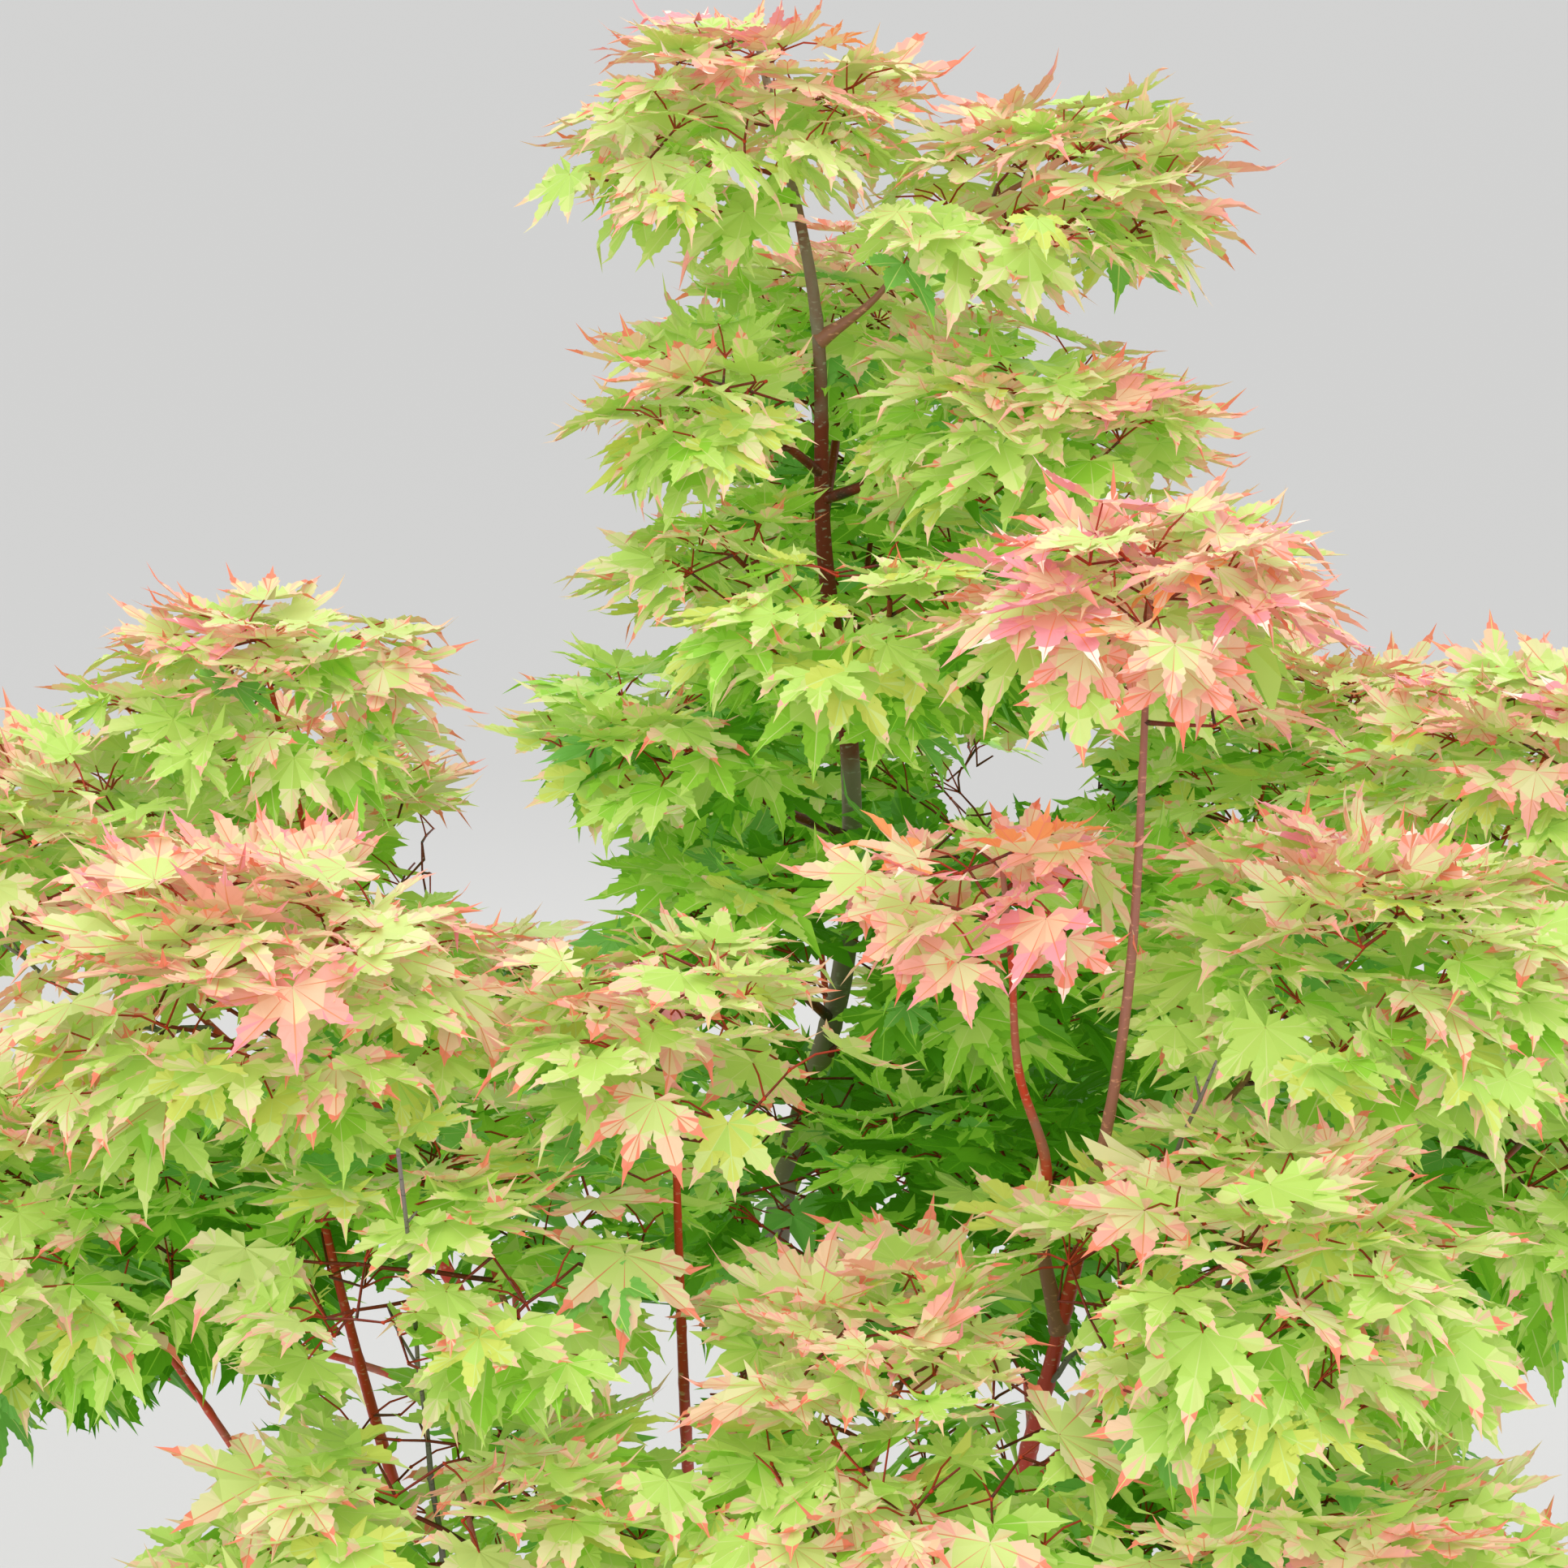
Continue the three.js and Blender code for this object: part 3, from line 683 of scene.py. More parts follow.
def twig_tips(mass, masses, turn, rng):
    """Where the twigs of a mass end: evenly over a shell inside its space."""
    radius = mass.radius - TRIM.get(mass.name, 0)
    across = radius - TIP_INSET[0]
    upright = radius / FLATNESS - TIP_INSET[1]
    spread = across ** (2 * AREA_POWER) + 2 * (across * upright) ** AREA_POWER
    area = 4 * math.pi * (spread / 3) ** (1 / AREA_POWER)
    count = max(LEAST_TIPS, int(area / TIP_AREA))
    k = np.arange(count)
    slope = lerp(*TIP_SLOPES, (k + 0.5) / count)
    azimuth = np.radians(turn + k * GOLDEN_ANGLE)
    flat = np.sqrt(1 - slope**2) * (1 - PEAK.get(mass.name, USUAL_PEAK) * np.maximum(slope, 0))
    width = across * flat
    shell = np.stack([width * np.cos(azimuth), width * np.sin(azimuth), upright * slope], axis=1)
    shell *= rng.uniform(*TIP_SCATTER, (count, 1))
    tips = []
    for offset in shell:
        for share in TIP_SHARES:
            tip = mass.centre + offset * share
            if room_at(tip, mass, masses) > LEAST_ROOM:
                tips.append(tip)
                break
    return tips


def grow_mass(growth, mass, masses):
    """The main twigs of a mass by the solids' rule, and finer ones that branch off to fill its space."""
    dice = Dice(mass.seed)
    rng = np.random.default_rng(mass.seed)
    turn = 360 * dice.roll()
    inside = max(mass.start, entry_share(mass.curve, mass.centre, mass.radius))
    if not mass.start:
        root_radius = LIMB_TIP_RADIUS + BRANCH_GROWTH * mass.curve.length
        radii = np.linspace(root_radius, MAIN_TWIG_RADIUS, STEM_POINTS)
        growth.lines.append((mass.curve.at(np.linspace(0, 1, STEM_POINTS)), radii))
    wood = mass.curve.at(np.linspace(lerp(inside, 1, STEM_ZONE[0]), 1, STEM_POINTS))
    for k in range(MAIN_TWIGS + int(mass.radius / RADIUS_PER_MAIN_TWIG)):
        level = (k * GOLDEN_SHARE + 0.5) % 1
        azimuth = turn + k * GOLDEN_ANGLE + TWIG_STRAY * (dice.roll() - 0.5)
        dice.roll()
        rise = lerp(*TWIG_RISE, level)
        root = mass.curve.at(inside + (1 - inside) * lerp(*STEM_ZONE, level))
        length = reach_from(root, polar(azimuth, rise), mass, masses) - TWIG_STOPS_SHORT
        if length > LEAST_TWIG:
            twig = grow_shoot(growth, mass, root, azimuth, rise, length, MAIN_TWIG_RADIUS, LEAFY_SHARE, rng)
            wood = np.vstack([wood, twig[1:]])
    tips = twig_tips(mass, masses, turn, rng)
    for tip in sorted(tips, key=lambda spot: size_of(wood - spot).min()):
        away = size_of(wood - tip)
        length = away.min()
        if length < LEAST_TWIG:
            continue
        root = wood[away.argmin()]
        heading = unit(tip - root)
        azimuth = math.degrees(math.atan2(heading[1], heading[0]))
        rise = math.degrees(math.asin(heading[2]))
        twig = grow_shoot(growth, mass, root, azimuth, rise, length, TWIG_ROOT_RADIUS, 0.0, rng)
        wood = np.vstack([wood, twig[1:]])


def lobe_half_width(u):
    """Half the width of a lobe at a share of its length: narrow at its root, long-tipped."""
    return LOBE_WIDTH * np.interp(u, *LOBE_SHAPE)


class LeafPattern:
    """One flat leaf: its points, and its faces with their zones.

    A point has its lobe, its distances out and across, how far folding lifts it, and its share of the lobe.
    A zone is VEIN, or from the heart at 0 to the tips at 1.
    """

    def __init__(self, edge, rib_stations=()):
        self.edge = edge
        self.rib_stations = rib_stations
        self.points = []
        self.faces = []
        self.zones = []
        self.heart = self.add(0, 0.0, 0.0)
        sinuses = self.sinus_points()
        for lobe, length in enumerate(LOBE_LENGTHS):
            if length > SMALL_LOBE:
                self.large_lobe(lobe, length, sinuses)
            else:
                self.small_lobe(lobe, length, sinuses)

    def add(self, lobe, out, across, ridge=0.0, share=0.0):
        self.points.append((lobe, out, across, ridge, share))
        return len(self.points) - 1

    def face(self, corners, zone, hand=1):
        """Adds a face, unless two of its corners are one point."""
        if len(set(corners)) == 3:
            self.faces.append(corners[::hand])
            self.zones.append(zone)

    def sinus_points(self):
        """The bottom of each cut between two lobes, by lobe and hand."""
        order = sorted(range(len(LOBE_ANGLES)), key=lambda lobe: LOBE_ANGLES[lobe])
        sinuses = {}
        for a, b in zip(order, order[1:]):
            out = SINUS_RADII[tuple(sorted((abs(LOBE_ANGLES[a]), abs(LOBE_ANGLES[b]))))]
            angle = math.radians(LOBE_ANGLES[b] - LOBE_ANGLES[a]) / 2
            sinuses[a, 1] = self.add(a, out * math.cos(angle), out * math.sin(angle), SINUS_RIDGE)
            sinuses[b, -1] = sinuses[a, 1]
        return sinuses

    def large_lobe(self, lobe, length, sinuses):
        """One of the five lobes that reach out, with its vein if it has stations for one."""
        tip = self.add(lobe, length, 0.0, 0.0, 1.0)
        rib = {}
        for hand in (-1, 1):
            stations = [(u, hand * VEIN_HALF * (1 - VEIN_TAPER * u)) for u in self.rib_stations]
            rib[hand] = [self.add(lobe, u * length, across, 0.0, u) for u, across in stations]
        left, right = ([self.heart, *rib[hand], tip] for hand in (-1, 1))
        for a, b, c, d in zip(left, left[1:], right, right[1:]):
            self.face((a, b, c), VEIN)
            self.face((c, b, d), VEIN)
        for hand in (-1, 1):
            edge = [(sinuses[lobe, hand], SINUS_ZONE)]
            for station, depth in self.edge:
                width = lobe_half_width(station) * depth
                edge.append((self.add(lobe, station * length, hand * width, width, station), station))
            spine = [(self.heart, 0.0)] + list(zip(rib[hand], self.rib_stations))
            self.fill_half(spine + [(tip, 1.0)], edge + [(tip, 1.0)], hand)

    def small_lobe(self, lobe, length, sinuses):
        """One of the two small lobes beside the stalk."""
        tip = self.add(lobe, length, 0.0, 0.0, 1.0)
        out, across, ridge = SMALL_LOBE_SIDE
        for hand in (-1, 1):
            side = self.add(lobe, out * length, hand * across * length, ridge, out)
            if (lobe, hand) in sinuses:
                self.face((self.heart, side, sinuses[lobe, hand]), SINUS_ZONE, hand)
            self.face((self.heart, tip, side), SMALL_LOBE_ZONE, hand)

    def fill_half(self, spine, edge, hand):
        """Fills half a lobe between its midrib and its edge."""
        i = j = 0
        while i < len(spine) - 1 or j < len(edge) - 1:
            at_end = j == len(edge) - 1
            if at_end or (i < len(spine) - 1 and spine[i + 1][1] <= edge[j + 1][1]):
                corners = (spine[i], spine[i + 1], edge[j])
                outer = 0.0
                i += 1
            else:
                corners = (spine[i], edge[j + 1], edge[j])
                outer = OUTER_ZONE
                j += 1
            points, zones = zip(*corners)
            self.face(points, sum(zones) / 3 + outer, hand)


def turns_about(axis, angles):
    """Matrices that turn about one axis, 0 to 2, by each of some angles."""
    cos, sin = np.cos(np.radians(angles)), np.sin(np.radians(angles))
    a, b = (axis + 1) % 3, (axis + 2) % 3
    matrices = np.zeros((len(angles), 3, 3))
    matrices[:, axis, axis] = 1
    matrices[:, a, a] = matrices[:, b, b] = cos
    matrices[:, b, a] = sin
    matrices[:, a, b] = -sin
    return matrices


def of_all(leaves, name):
    """One of the values of each leaf, as an array."""
    return np.array([getattr(leaf, name) for leaf in leaves])


def leaf_vertices(pattern, leaves, rng):
    """The points of many leaves at once, bent along their lobes, folded at their ribs and put in place."""
    lobe, out, across, ridge, share = np.array(pattern.points).T
    lobe = lobe.astype(int)
    count = len(leaves)
    shape = (count, len(LOBE_ANGLES))
    roll = rng.normal(0, ROLL_STRAY, count)
    bend = lerp(*BEND, share_between(of_all(leaves, "high"), BEND_HEIGHTS))
    bend += rng.normal(0, BEND_STRAY, count)
    fold = rng.uniform(*FOLD, count)
    spread = rng.uniform(*SPREAD, count)
    stretch = rng.normal(1.0, STRETCH_STRAY, shape)
    angles = np.array(LOBE_ANGLES) * spread[:, None] + rng.normal(0, ANGLE_STRAY, shape)
    angles = np.radians(angles)[:, lobe]
    out = out * stretch[:, lobe]
    x = out * np.cos(angles) - across * np.sin(angles)
    y = out * np.sin(angles) + across * np.cos(angles)
    distance = np.hypot(x, y)
    curl = (bend[:, None] + rng.normal(0, CURL_STRAY, shape))[:, lobe]
    curl = np.where(np.abs(curl) < LEAST_CURL, LEAST_CURL, curl)
    shrink = np.where(distance > 1e-6, np.sin(curl * distance) / (curl * np.maximum(distance, 1e-6)), 1.0)
    tail = rng.normal(0, TAIL_STRAY, shape)[:, lobe] * np.clip(share - TAIL_FROM, 0, 1) ** 2
    z = -(1 - np.cos(curl * distance)) / curl + fold[:, None] * ridge + tail
    z += rng.normal(0, EDGE_STRAY, z.shape) * (ridge > 0)
    size = of_all(leaves, "size") * LEAF_LENGTH
    local = np.stack([x * shrink, y * shrink, z], axis=-1) * size[:, None, None]
    turn = turns_about(2, of_all(leaves, "face")) @ turns_about(1, of_all(leaves, "pitch"))
    return local @ (turn @ turns_about(0, roll)).transpose(0, 2, 1) + of_all(leaves, "base")[:, None, :]


def linear(colour):
    c = np.array(colour, float) / 255
    return tuple(np.where(c <= 0.04045, c / 12.92, ((c + 0.055) / 1.055) ** 2.4)) + (1.0,)


def new_material(name):
    """A new material and its shader."""
    material = bpy.data.materials.new(name)
    material.use_nodes = True
    return material, material.node_tree.nodes["Principled BSDF"]


def plain_material(name, colour, roughness, painted_glow=0.0):
    """A material of one colour, for pieces whose colours are dealt out face by face.

    The glow is painted light: the surface shines of its own. It stands for the light that a thin leaf lets
    through from behind, and it lightens the leaves' shaded sides too.
    """
    material, shader = new_material(name)
    shader.inputs["Base Color"].default_value = linear(colour)
    shader.inputs["Roughness"].default_value = roughness
    shader.inputs["Specular IOR Level"].default_value = GLOSS
    # Painted light: the surface gives off light in its own colour, as strong as the glow given.
    shader.inputs["Emission Color"].default_value = linear(colour)
    shader.inputs["Emission Strength"].default_value = painted_glow
    return material


def add_node(tree, kind, inputs, **settings):
    """Adds a shader node whose inputs are values or other nodes' outputs, and gives the node."""
    node = tree.nodes.new("ShaderNode" + kind)
    for name, value in settings.items():
        setattr(node, name, value)
    for name, value in inputs.items():
        if isinstance(value, bpy.types.NodeSocket):
            tree.links.new(value, node.inputs[name])
        else:
            node.inputs[name].default_value = value
    return node


def bark_noise(tree, size, detail, stretch=(1, 1, 1)):
    place = add_node(tree, "TexCoord", {}).outputs["Object"]
    mapping = add_node(tree, "Mapping", {"Vector": place, "Scale": stretch})
    inputs = {"Vector": mapping.outputs["Vector"], "Scale": size, "Detail": detail}
    return add_node(tree, "TexNoise", inputs).outputs["Fac"]


def bark_material(name, young, old, mark, scale, roughness):
    """Bark whose colour turns from young to old with the age of the wood, blotched and marked across."""
    material, shader = new_material(name)
    tree = material.node_tree
    blotches = bark_noise(tree, scale, 5)
    age = add_node(tree, "Attribute", {}, attribute_name="age").outputs["Fac"]
    shifted = add_node(tree, "Math", {0: age, 1: 0.35}, operation="SUBTRACT").outputs[0]
    grown = add_node(tree, "Math", {0: blotches, 1: 0.7, 2: shifted}, operation="MULTIPLY_ADD").outputs[0]
    base = add_node(tree, "ValToRGB", {"Fac": grown})
    stops = base.color_ramp.elements
    for stop, position, colour in zip(stops, (0.45, 0.62), (young, old)):
        stop.position = position
        stop.color = linear(colour)
    across = bark_noise(tree, scale * 6, 2, (1, 1, 2.4))
    inputs = {"Value": across, "From Min": 0.6, "From Max": 0.72}
    marks = add_node(tree, "MapRange", inputs).outputs["Result"]
    inputs = {"Factor": marks, "A": base.outputs["Color"], "B": linear(mark)}
    colour = add_node(tree, "Mix", inputs, data_type="RGBA").outputs["Result"]
    inputs = {"Value": blotches, "To Min": roughness - 0.1, "To Max": roughness + 0.12}
    shine = add_node(tree, "MapRange", inputs).outputs["Result"]
    grain = bark_noise(tree, scale * 9, 4, (1, 1, 0.35))
    bump = add_node(tree, "Bump", {"Height": grain, "Strength": 0.35, "Distance": 0.0006}).outputs["Normal"]
    tree.links.new(colour, shader.inputs["Base Color"])
    tree.links.new(shine, shader.inputs["Roughness"])
    tree.links.new(bump, shader.inputs["Normal"])
    return material


def add_object(name, data):
    thing = bpy.data.objects.new(name, data)
    bpy.context.collection.objects.link(thing)
    return thing


def mesh_piece(name, vertices, triangles, materials, replaces=(), indices=None, smooth=False):
    """A joined mesh made from arrays, which rides on the one body of the tree."""
    mesh = bpy.data.meshes.new(name)
    vertices = np.asarray(vertices, np.float32) * METRE
    triangles = np.asarray(triangles, np.int32)
    mesh.vertices.add(len(vertices))
    mesh.vertices.foreach_set("co", vertices.ravel())
    mesh.loops.add(triangles.size)
    mesh.loops.foreach_set("vertex_index", triangles.ravel())
    mesh.polygons.add(len(triangles))
    mesh.polygons.foreach_set("loop_start", np.arange(0, triangles.size, 3, dtype=np.int32))
    for material in materials:
        mesh.materials.append(material)
    if indices is not None:
        mesh.polygons.foreach_set("material_index", np.asarray(indices, np.int32))
    mesh.polygons.foreach_set("use_smooth", np.full(len(triangles), smooth))
    mesh.update(calc_edges=True)
    mesh.validate()
    piece = add_object(name, mesh)
    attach(piece, "root")
    if replaces:
        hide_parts(*replaces)
    return piece


def frames_along(points):
    """A side and a cross direction at each point of a line, turning as little as they can."""
    along = unit(np.gradient(points, axis=0))
    side = np.zeros_like(points)
    last = np.array([1.0, 0.0, 0.0]) if abs(along[0][0]) < 0.9 else np.array([0.0, 1.0, 0.0])
    for i, direction in enumerate(along):
        last = unit(last - direction * last.dot(direction))
        side[i] = last
    return side, np.cross(along, side)


def angles_round(corners):
    return 2 * np.pi * np.arange(corners) / corners


class Tubes:
    """Tubes gathered into one mesh, with an age at each vertex. None of it reaches below the ground."""

    def __init__(self):
        self.vertices = []
        self.triangles = []
        self.ages = []
        self.count = 0

    def add(self, points, radii, corners, age=0.0, closed_start=False, tip=True):
        """Adds a tube. Its radii have one value per point, or one per point and corner."""
        side, cross = frames_along(points)
        angle = angles_round(corners)
        radii = np.broadcast_to(np.asarray(radii).reshape(len(points), -1), (len(points), corners))
        ring = side[:, None] * np.cos(angle)[None, :, None] + cross[:, None] * np.sin(angle)[None, :, None]
        ends = [(points[:, None] + ring * radii[..., None]).reshape(-1, 3)]
        corner = np.arange(corners)
        following = (corner + 1) % corners
        rows = np.arange(len(points) - 1)[:, None] * corners
        a, b = rows + corner, rows + following
        faces = [np.stack([a, b, b + corners, a, b + corners, a + corners], axis=-1).reshape(-1, 3)]
        centre = np.full(corners, len(points) * corners)
        if tip:
            faces.append(np.stack([a[-1] + corners, b[-1] + corners, centre], axis=-1))
            ends.append(points[-1:] + unit(points[-1:] - points[-2:-1]) * radii[-1].mean() * POINTEDNESS)
        if closed_start:
            faces.append(np.stack([following, corner, centre + tip], axis=-1))
            ends.append(points[:1])
        vertices = np.concatenate(ends)
        vertices[:, 2] = np.maximum(vertices[:, 2], 0)
        ages = np.repeat(np.broadcast_to(age, len(points)), corners)
        self.vertices.append(vertices)
        self.triangles.append(np.concatenate(faces) + self.count)
        self.ages.append(np.pad(ages, (0, len(vertices) - len(ages)), mode="edge"))
        self.count += len(vertices)

    def piece(self, name, material, slot="young_bark", replaces=()):
        vertices, triangles = np.concatenate(self.vertices), np.concatenate(self.triangles)
        piece = mesh_piece(name, vertices, triangles, [material], replaces, smooth=True)
        layer = piece.data.attributes.new("age", "FLOAT", "POINT")
        layer.data.foreach_set("value", np.concatenate(self.ages).astype(np.float32))


def node_swelling(distance, spacing, amount, rng):
    """Swollen rings where buds once were, at about even spacing."""
    swelling = np.zeros(len(distance))
    at = spacing * rng.uniform(*FIRST_NODE)
    while at < distance[-1]:
        swelling += amount * np.exp(-((distance - at) / NODE_WIDTH) ** 2)
        at += spacing * rng.uniform(*NODE_GAPS)
    return swelling


def trunk_piece(material):
    """The trunk with its flare, its buttresses, ring scars and shallow furrows."""
    rng = np.random.default_rng(TRUNK_SEED)
    shares = np.linspace(trunk_share(0), 1, TRUNK_RINGS)
    points = trunk_curve.at(shares)
    points[:, 2] = np.maximum(points[:, 2], 0)
    height = points[:, 2]
    taper = TRUNK_TIP_RADIUS + (TRUNK_BASE_RADIUS - TRUNK_TIP_RADIUS) * (1 - shares) ** TRUNK_TAPER
    taper *= 1 - TRUNK_SLENDER * shares
    angle = angles_round(TRUNK_CORNERS)
    flare = FLARE_RADIUS + FLARE_DEPTH * np.cos(BUTTRESSES * angle)
    flare = np.exp(-height / FLARE_HEIGHT)[:, None] * flare
    furrows = sum(
        np.sin(waves * angle + phase + height[:, None] / turn) / waves for waves, phase, turn in FURROWS
    )
    radii = (taper[:, None] + flare) * (1 + FURROW_DEPTH * furrows)
    radii += (node_swelling(height, *TRUNK_NODES, rng) * taper)[:, None]
    tubes = Tubes()
    tubes.add(points, radii, TRUNK_CORNERS, np.interp(height, *TRUNK_AGES), closed_start=True)
    tubes.piece("trunk_bark", material, "trunk_bark", ["trunk"])


def bough_piece(limbs, material):
    """The boughs and branches with collars at their roots, swollen nodes and shallow furrows."""
    tubes = Tubes()
    angle = angles_round(LIMB_CORNERS)
    for index, (name, limb) in enumerate(limbs.items()):
        rng = np.random.default_rng(LIMB_SEED + index)
        shares = np.linspace(0, 1, int(limb.curve.length / LIMB_RING_SPACING))
        distance = shares * limb.curve.length
        collar = COLLAR[0] * np.exp(-distance / COLLAR[1])
        radius = limb.radius(shares) * (1 + collar + node_swelling(distance, *LIMB_NODES, rng))
        furrows = sum(
            depth * np.sin(waves * angle + distance[:, None] / turn + own * index)
            for depth, waves, turn, own in LIMB_FURROWS
        )
        way = shares / limb.end
        age = ROOT_AGE[0] * np.exp(-distance / ROOT_AGE[1]) + LIMB_AGE
        age += TIP_AGE[0] * np.clip(way - TIP_AGE[1], 0, 1)
        weathered_from, weathered_age = WEATHERED.get(name, (1.0, 0.0))
        age = np.maximum(age, weathered_age * np.clip((way - weathered_from) * WEATHERING, 0, 1))
        tubes.add(limb.curve.at(shares), radius[:, None] * (1 + furrows), LIMB_CORNERS, age)
    tubes.piece("bough_bark", material, replaces=[limb.node for limb in limbs.values()])


def twig_piece(growth, material):
    tubes = Tubes()
    for points, radii in growth.lines:
        corners = 6 if radii[0] > 2 else 4 if radii[0] > 1.3 else 3
        tubes.add(points, radii, corners, np.linspace(*TWIG_AGE, len(points)))
    tubes.piece("twigs", material)


def sheath_piece(growth, leaves, material):
    """The red scales where leaf stalks meet a twig, as small pointed swellings."""
    tubes = Tubes()
    for index in sorted({leaf.sheath for leaf in leaves}):
        point, heading, radius = growth.sheaths[index]
        line = point + heading * np.array(SCALE_ENDS)[:, None]
        tubes.add(line, np.array(SCALE_RADII) * radius, 3)
    tubes.piece("bud_scales", material)


def stalk_piece(leaves, material):
    """The red stalks, gently arched."""
    tubes = Tubes()
    for leaf in leaves:
        arch = STALK_ARCH * size_of(leaf.base - leaf.node)
        middle = (leaf.node + leaf.base) / 2 + (0, 0, arch)
        inner = leaf.base + polar(leaf.face, -leaf.pitch)
        line = np.array([leaf.node, middle, inner] if leaf.toothed else [leaf.node, inner])
        tubes.add(line, np.linspace(*STALK_RADII, len(line)), 3, tip=False)
    tubes.piece("leaf_stalks", material)


def dead_twig_lines(limbs):
    """The crooked lines of the dead twigs."""
    rng = np.random.default_rng(DEAD_TWIG_SEED)
    shares = np.linspace(0, 1, DEAD_TWIG_POINTS)[:, None]
    swing = np.sin(np.pi * shares)
    lines = []
    for parent, share, tip in DEAD_TWIGS:
        root = limbs[parent].curve.at(share * limbs[parent].end)
        line = lerp(root, np.array(tip), shares) + rng.normal(0, DEAD_TWIG_STRAY, (len(shares), 3)) * swing
        line[:, 2] -= (DEAD_TWIG_SAG * size_of(tip - root) * swing)[:, 0]
        lines.append(line)
    return lines


def dead_twig_piece(lines, material):
    """Grey dead twigs with stubs of side twigs."""
    rng = np.random.default_rng(STUB_SEED)
    tubes = Tubes()
    for line in lines:
        radii = np.linspace(*DEAD_TWIG_RADII, len(line)) * rng.uniform(*DEAD_TWIG_SWELLING, len(line))
        tubes.add(line, radii, 6, DEAD_TWIG_AGE)
        for i in range(FIRST_STUB, len(line), 2):
            stub = polar(rng.uniform(0, 360), rng.uniform(*STUB_RISE)) * rng.uniform(*STUB_LENGTH)
            tubes.add(line[i] + stub * np.array(STUB_SHARES)[:, None], STUB_RADII, 4, 1.0)
    tubes.piece("dead_twigs", material)


def bare_stretches(limbs, dead_lines):
    """Points on the stems that show, the directions from them to the camera, and the gaps' half widths."""
    points = [line[len(line) // 3:] for line in dead_lines]
    widths = [DEAD_TWIG_CLEARANCE] * sum(len(line) for line in points)
    for name, lowest, highest, width in BARE_STRETCHES:
        curve, end = (limbs[name].curve, limbs[name].end) if name in limbs else (trunk_curve, 1.0)
        line = curve.at(np.linspace(0, end, 400))
        line = line[(line[:, 2] > lowest) & (line[:, 2] < highest)][::4]
        points.append(line)
        widths += [width] * len(line)
    points = np.concatenate(points)
    return points, unit(np.array(CAMERA_PLACE) - points), np.array(widths)


def in_crown_gap(spot):
    """Whether a leaf lies in the line of sight through one of the crown's gaps."""
    camera = np.array(CAMERA_PLACE)
    for place, half_width, half_height in CROWN_GAPS:
        reach = (spot[1] - camera[1]) / (place[1] - camera[1])
        x, _, z = camera + (np.array(place) - camera) * reach
        if math.hypot((spot[0] - x) / half_width, (spot[2] - z) / half_height) < reach:
            return True
    return False


def lay_leaf(leaf, masses, rng):
    """Settles a leaf's size, lie and place, and says whether it keeps to its space.

    Its stalk is made shorter if need be.
    """
    leaf.high = (leaf.node[2] - leaf.mass.centre[2]) * FLATNESS / leaf.mass.radius
    size = np.clip(rng.normal(LEAF_SIZE - TIP_LEAF_LOSS * leaf.young, SIZE_STRAY), *SIZE_LIMITS)
    leaf.size = float(size)
    height = share_between(leaf.high, DROOP_HEIGHTS)
    leaf.pitch = lerp(*DROOP, height**DROOP_POWER) + rng.normal(0, DROOP_STRAY)
    stalk = rng.uniform(*STALK_LENGTH)
    blade = polar(leaf.face, -leaf.pitch) * LEAF_LENGTH * leaf.size
    lobes = polar(leaf.face + np.array(LOBE_ANGLES), -leaf.pitch) * np.array(LOBE_LENGTHS)[:, None]
    least, most = (np.array(corner) / METRE for corner in CAD_BOX)
    for shorter in STALK_SHARES:
        leaf.base = leaf.node + leaf.stalk_heading * stalk * shorter
        leaf.centre = leaf.base + BLADE_MIDDLE * blade
        ends = np.array([leaf.base, leaf.base + blade])
        tips = leaf.base + lobes * LEAF_LENGTH * leaf.size
        boxed = np.minimum(tips - least, most - tips)[:, :2].min() > -BOX_ALLOWANCE
        inside = room_at(ends, leaf.mass, masses).min() > -EDGE_ALLOWANCE
        if boxed and inside and ends[:, 2].max() < CROWN_TOP:
            return True
    return False


def choose_leaves(growth, limbs, masses, dead_lines):
    """Lays each leaf, and drops those that leave their space, crowd others or hide what shows."""
    rng = np.random.default_rng(LEAF_SEED)
    samples = [trunk_curve.at(np.linspace(0.1, 1, 260))]
    samples += [limb.curve.at(np.linspace(0.05, limb.end, 90)) for limb in limbs.values()]
    wood = np.concatenate(samples)
    bare, sight, gap = bare_stretches(limbs, dead_lines)
    kept = []
    placed = np.zeros((len(growth.leaves), 3))
    for leaf in growth.leaves:
        if not lay_leaf(leaf, masses, rng):
            continue
        if (size_of(placed[: len(kept)] - leaf.centre) < LEAF_CLEARANCE).any():
            continue
        if min(size_of(wood - spot).min() for spot in (leaf.base, leaf.centre)) < LIMB_CLEARANCE:
            continue
        before = leaf.centre - bare
        depth = (before * sight).sum(axis=1)
        aside = size_of(before - depth[:, None] * sight)
        if ((depth > 0) & (depth < STRETCH_DEPTH) & (aside < gap)).any() or in_crown_gap(leaf.centre):
            continue
        placed[len(kept)] = leaf.centre
        kept.append(leaf)
    return kept


def standing_before(centres, azimuth, rise):
    """How many leaves stand before each one for someone who looks from a direction."""
    toward = polar(azimuth, rise)
    side = unit(np.cross(toward, (0.01, 0, 1)))
    up = np.cross(side, toward)
    cells = np.stack([centres @ side, centres @ up], axis=1) // SIGHT_CELL
    order = np.lexsort((-(centres @ toward), cells[:, 1], cells[:, 0]))
    new = np.any(np.diff(cells[order], axis=0) != 0, axis=1)
    group = np.concatenate([[0], np.cumsum(new)])
    start = np.concatenate([[0], np.nonzero(new)[0] + 1])
    rank = np.empty(len(centres), int)
    rank[order] = np.arange(len(centres)) - start[group]
    return rank


def toothed_leaves(centres):
    """Which leaves are seen well enough for toothed edges: the outer ones, and more of them in front."""
    toothed = standing_before(centres, *FRONT_VIEW) < FRONT_LAYERS
    for view in OTHER_VIEWS:
        toothed |= standing_before(centres, *view) < 1
    return toothed


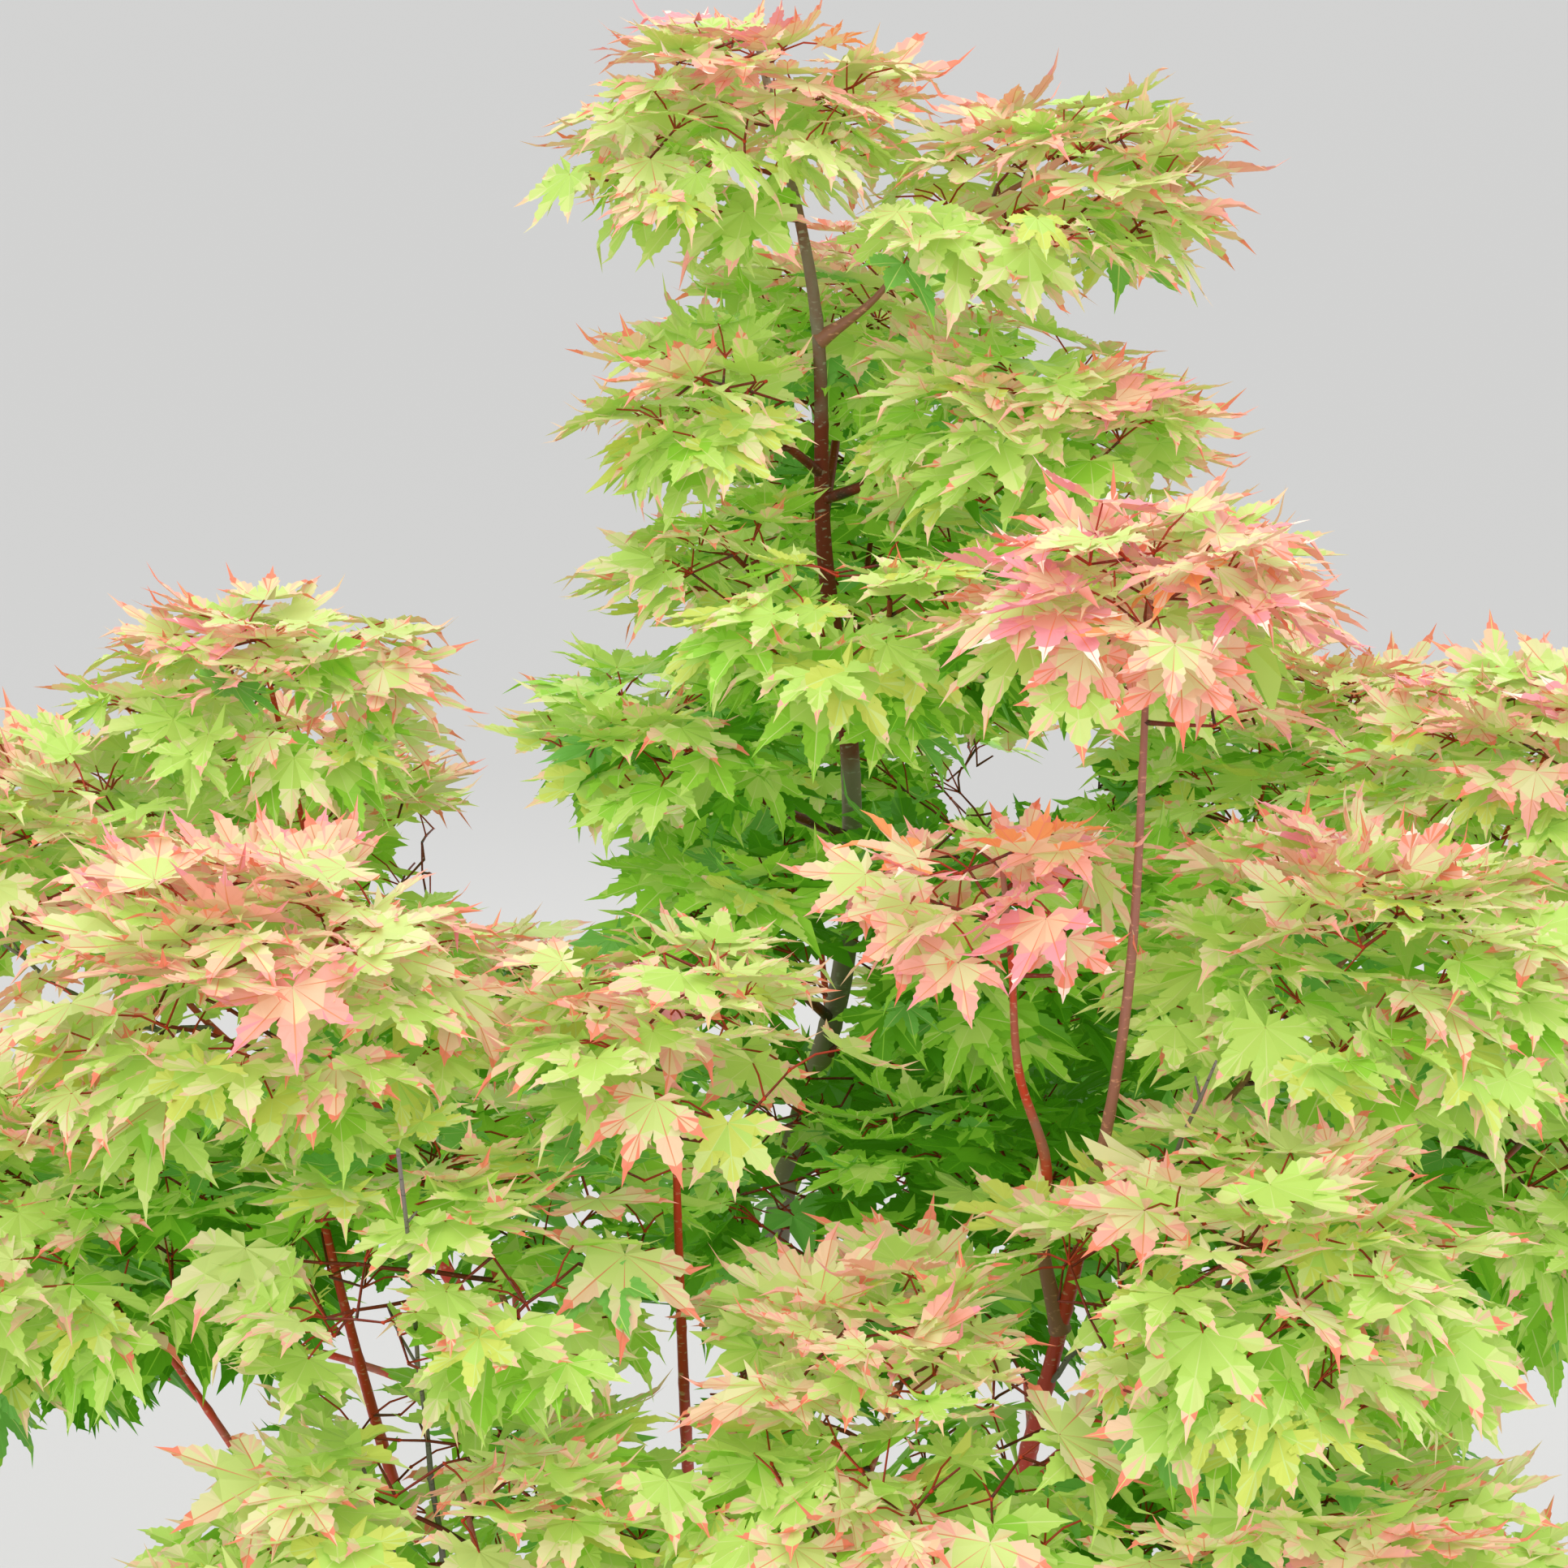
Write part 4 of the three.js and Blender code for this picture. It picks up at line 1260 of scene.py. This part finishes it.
def leaf_cover(centres):
    """How much stands between each leaf and the sky, which tells shaded leaves from those in the light."""
    layers = np.sort([standing_before(centres, *view) for view in SKY_VIEWS], axis=0)
    return layers[:BEST_SKY_VIEWS].mean(axis=0)


def deal_palettes(leaves, centres, rng):
    """A palette for each leaf: blushed where it stands high in the light, and deep green in the shade, which
    is partly the colour of shade leaves and partly painted shade.
    """
    names = list(PALETTES)
    tones = {}
    cover = leaf_cover(centres)
    shade = np.argsort(np.argsort(cover + rng.random(len(cover)))) / len(cover)
    for leaf, dark in zip(leaves, shade):
        mass = leaf.mass.name
        spray = (mass, tuple(np.round(leaf.node / SPRAY_SIZE).astype(int)))
        tone = tones.setdefault(spray, rng.normal(0, TONE_STRAY))
        dark += TONE_IN_SHADE * tone + rng.normal(0, SHADE_STRAY) + DEEPER_SHADE.get(mass, 0)
        if dark < SHADED_FROM:
            scale, value = BLUSH_SCALE, BLUSH.get(mass, USUAL_BLUSH) + tone + rng.normal(0, BLUSH_STRAY)
            effects = (BLUSH_BY_HEIGHT, leaf.high), (BLUSH_BY_YOUTH, leaf.young), (BLUSH_BY_SHADE, dark)
            value += sum(strength * (amount - usual) for (strength, usual), amount in effects)
        else:
            # Painted shade, in part: leaves covered from the sky take darker greens.
            scale, value = SHADE_SCALE, (dark - SHADED_FROM) / (1 - SHADED_FROM)
        leaf.palette = names.index(scale[int(np.clip(value, 0, 0.999) * len(scale))])


def leaf_batch(pattern, leaves, table, rng):
    """The points, faces and colours of leaves that share a pattern."""
    count = len(leaves)
    vertices = leaf_vertices(pattern, leaves, rng)
    zones = np.array(pattern.zones)
    by_face, by_leaf = ZONE_STRAY
    value = zones + rng.normal(0, by_face, (count, len(zones))) + rng.normal(0, by_leaf, (count, 1))
    colours = table[of_all(leaves, "palette")[:, None], np.searchsorted(ZONE_LIMITS, value)]
    triangles = np.array(pattern.faces)[None] + (np.arange(count) * len(pattern.points))[:, None, None]
    return vertices.reshape(-1, 3), triangles.reshape(-1, 3), colours.ravel()


def leaf_pieces(leaves, materials):
    """The leaves, joined by part of the crown, with a colour for each face."""
    rng = np.random.default_rng(COLOUR_SEED)
    toothed = LeafPattern(TOOTHED_EDGE, TOOTHED_RIB)
    plain = LeafPattern(PLAIN_EDGE)
    names = list(LEAF_COLOURS)
    table = np.array([[names.index(colour) for colour in row.split()] for row in PALETTES.values()])
    centres = of_all(leaves, "centre")
    deal_palettes(leaves, centres, rng)
    for leaf, seen in zip(leaves, toothed_leaves(centres)):
        leaf.toothed = bool(seen)
    for piece_name, row in LEAF_PIECES.items():
        mass_names = row.split()
        own = [leaf for leaf in leaves if leaf.mass.name in mass_names]
        first = leaf_batch(toothed, [leaf for leaf in own if leaf.toothed], table, rng)
        second = leaf_batch(plain, [leaf for leaf in own if not leaf.toothed], table, rng)
        vertices, colours = np.concatenate([first[0], second[0]]), np.concatenate([first[2], second[2]])
        triangles = np.concatenate([first[1], second[1] + len(first[0])])
        nodes = ["foliage_" + name for name in mass_names]
        mesh_piece(piece_name, vertices, triangles, materials, nodes, colours)


def set_camera():
    """A long lens from in front and above, as the photo was taken."""
    data = bpy.data.cameras.new("camera")
    data.sensor_width = SENSOR_WIDTH
    data.lens = CAMERA_LENS
    data.clip_end = CAMERA_REACH
    camera = add_object("camera", data)
    camera.location = np.array(CAMERA_PLACE) * METRE
    camera.rotation_euler = Euler((math.radians(90 - CAMERA_TILT), 0, 0))
    bpy.context.scene.camera = camera


def set_sky():
    world = bpy.data.worlds.new("sky")
    world.use_nodes = True
    tree = world.node_tree
    background = tree.nodes["Background"]
    background.inputs["Color"].default_value = SKY_COLOUR
    direction = add_node(tree, "TexCoord", {}).outputs["Generated"]
    height = add_node(tree, "SeparateXYZ", {"Vector": direction}).outputs["Z"]
    inputs = {"Value": height, "To Min": SKY_AT_HORIZON, "To Max": SKY_OVERHEAD}
    brightness = add_node(tree, "MapRange", inputs)
    tree.links.new(brightness.outputs["Result"], background.inputs["Strength"])
    bpy.context.scene.world = world


def set_stage():
    """A pale floor, a pale sky and soft lights over, before and behind."""
    mesh = bpy.data.meshes.new("floor")
    far = FLOOR_HALF
    mesh.from_pydata([(-far, -far, 0), (far, -far, 0), (far, far, 0), (-far, far, 0)], [], [(0, 1, 2, 3)])
    mesh.materials.append(plain_material("floor", FLOOR_COLOUR, FLOOR_ROUGHNESS))
    floor = add_object("floor", mesh)
    set_sky()
    for name, place, size, power in LIGHTS:
        data = bpy.data.lights.new(name, "AREA")
        data.size = size
        data.energy = power
        light = add_object(name, data)
        light.location = place
        x, y, z = unit(np.array(LIGHTS_AIM) - place)
        light.rotation_euler = Euler((math.acos(-z), 0, math.atan2(y, x) - math.pi / 2))
    bpy.context.scene.view_settings.view_transform = "Standard"


def build():
    """Grows the tree and makes its pieces."""
    limbs, masses = plan_tree()
    barks = [bark_material(name, *look) for name, look in BARKS.items()]
    trunk_bark, coral_bark, twig_bark, dead_bark = barks
    stalk_red = plain_material("stalk_red", STALK_RED, ROUGHNESS)
    scale_red = plain_material("scale_red", SCALE_RED, ROUGHNESS)
    colours = LEAF_COLOURS.items()
    blades = [plain_material("leaf_" + name, colour, ROUGHNESS, LEAF_PAINTED_GLOW) for name, colour in colours]
    trunk_piece(trunk_bark)
    bough_piece(limbs, coral_bark)
    growth = Growth()
    for mass in masses:
        grow_mass(growth, mass, masses)
    dead_lines = dead_twig_lines(limbs)
    leaves = choose_leaves(growth, limbs, masses, dead_lines)
    twig_piece(growth, twig_bark)
    sheath_piece(growth, leaves, scale_red)
    dead_twig_piece(dead_lines, dead_bark)
    leaf_pieces(leaves, blades)
    stalk_piece(leaves, stalk_red)


set_camera()
set_stage()
build()
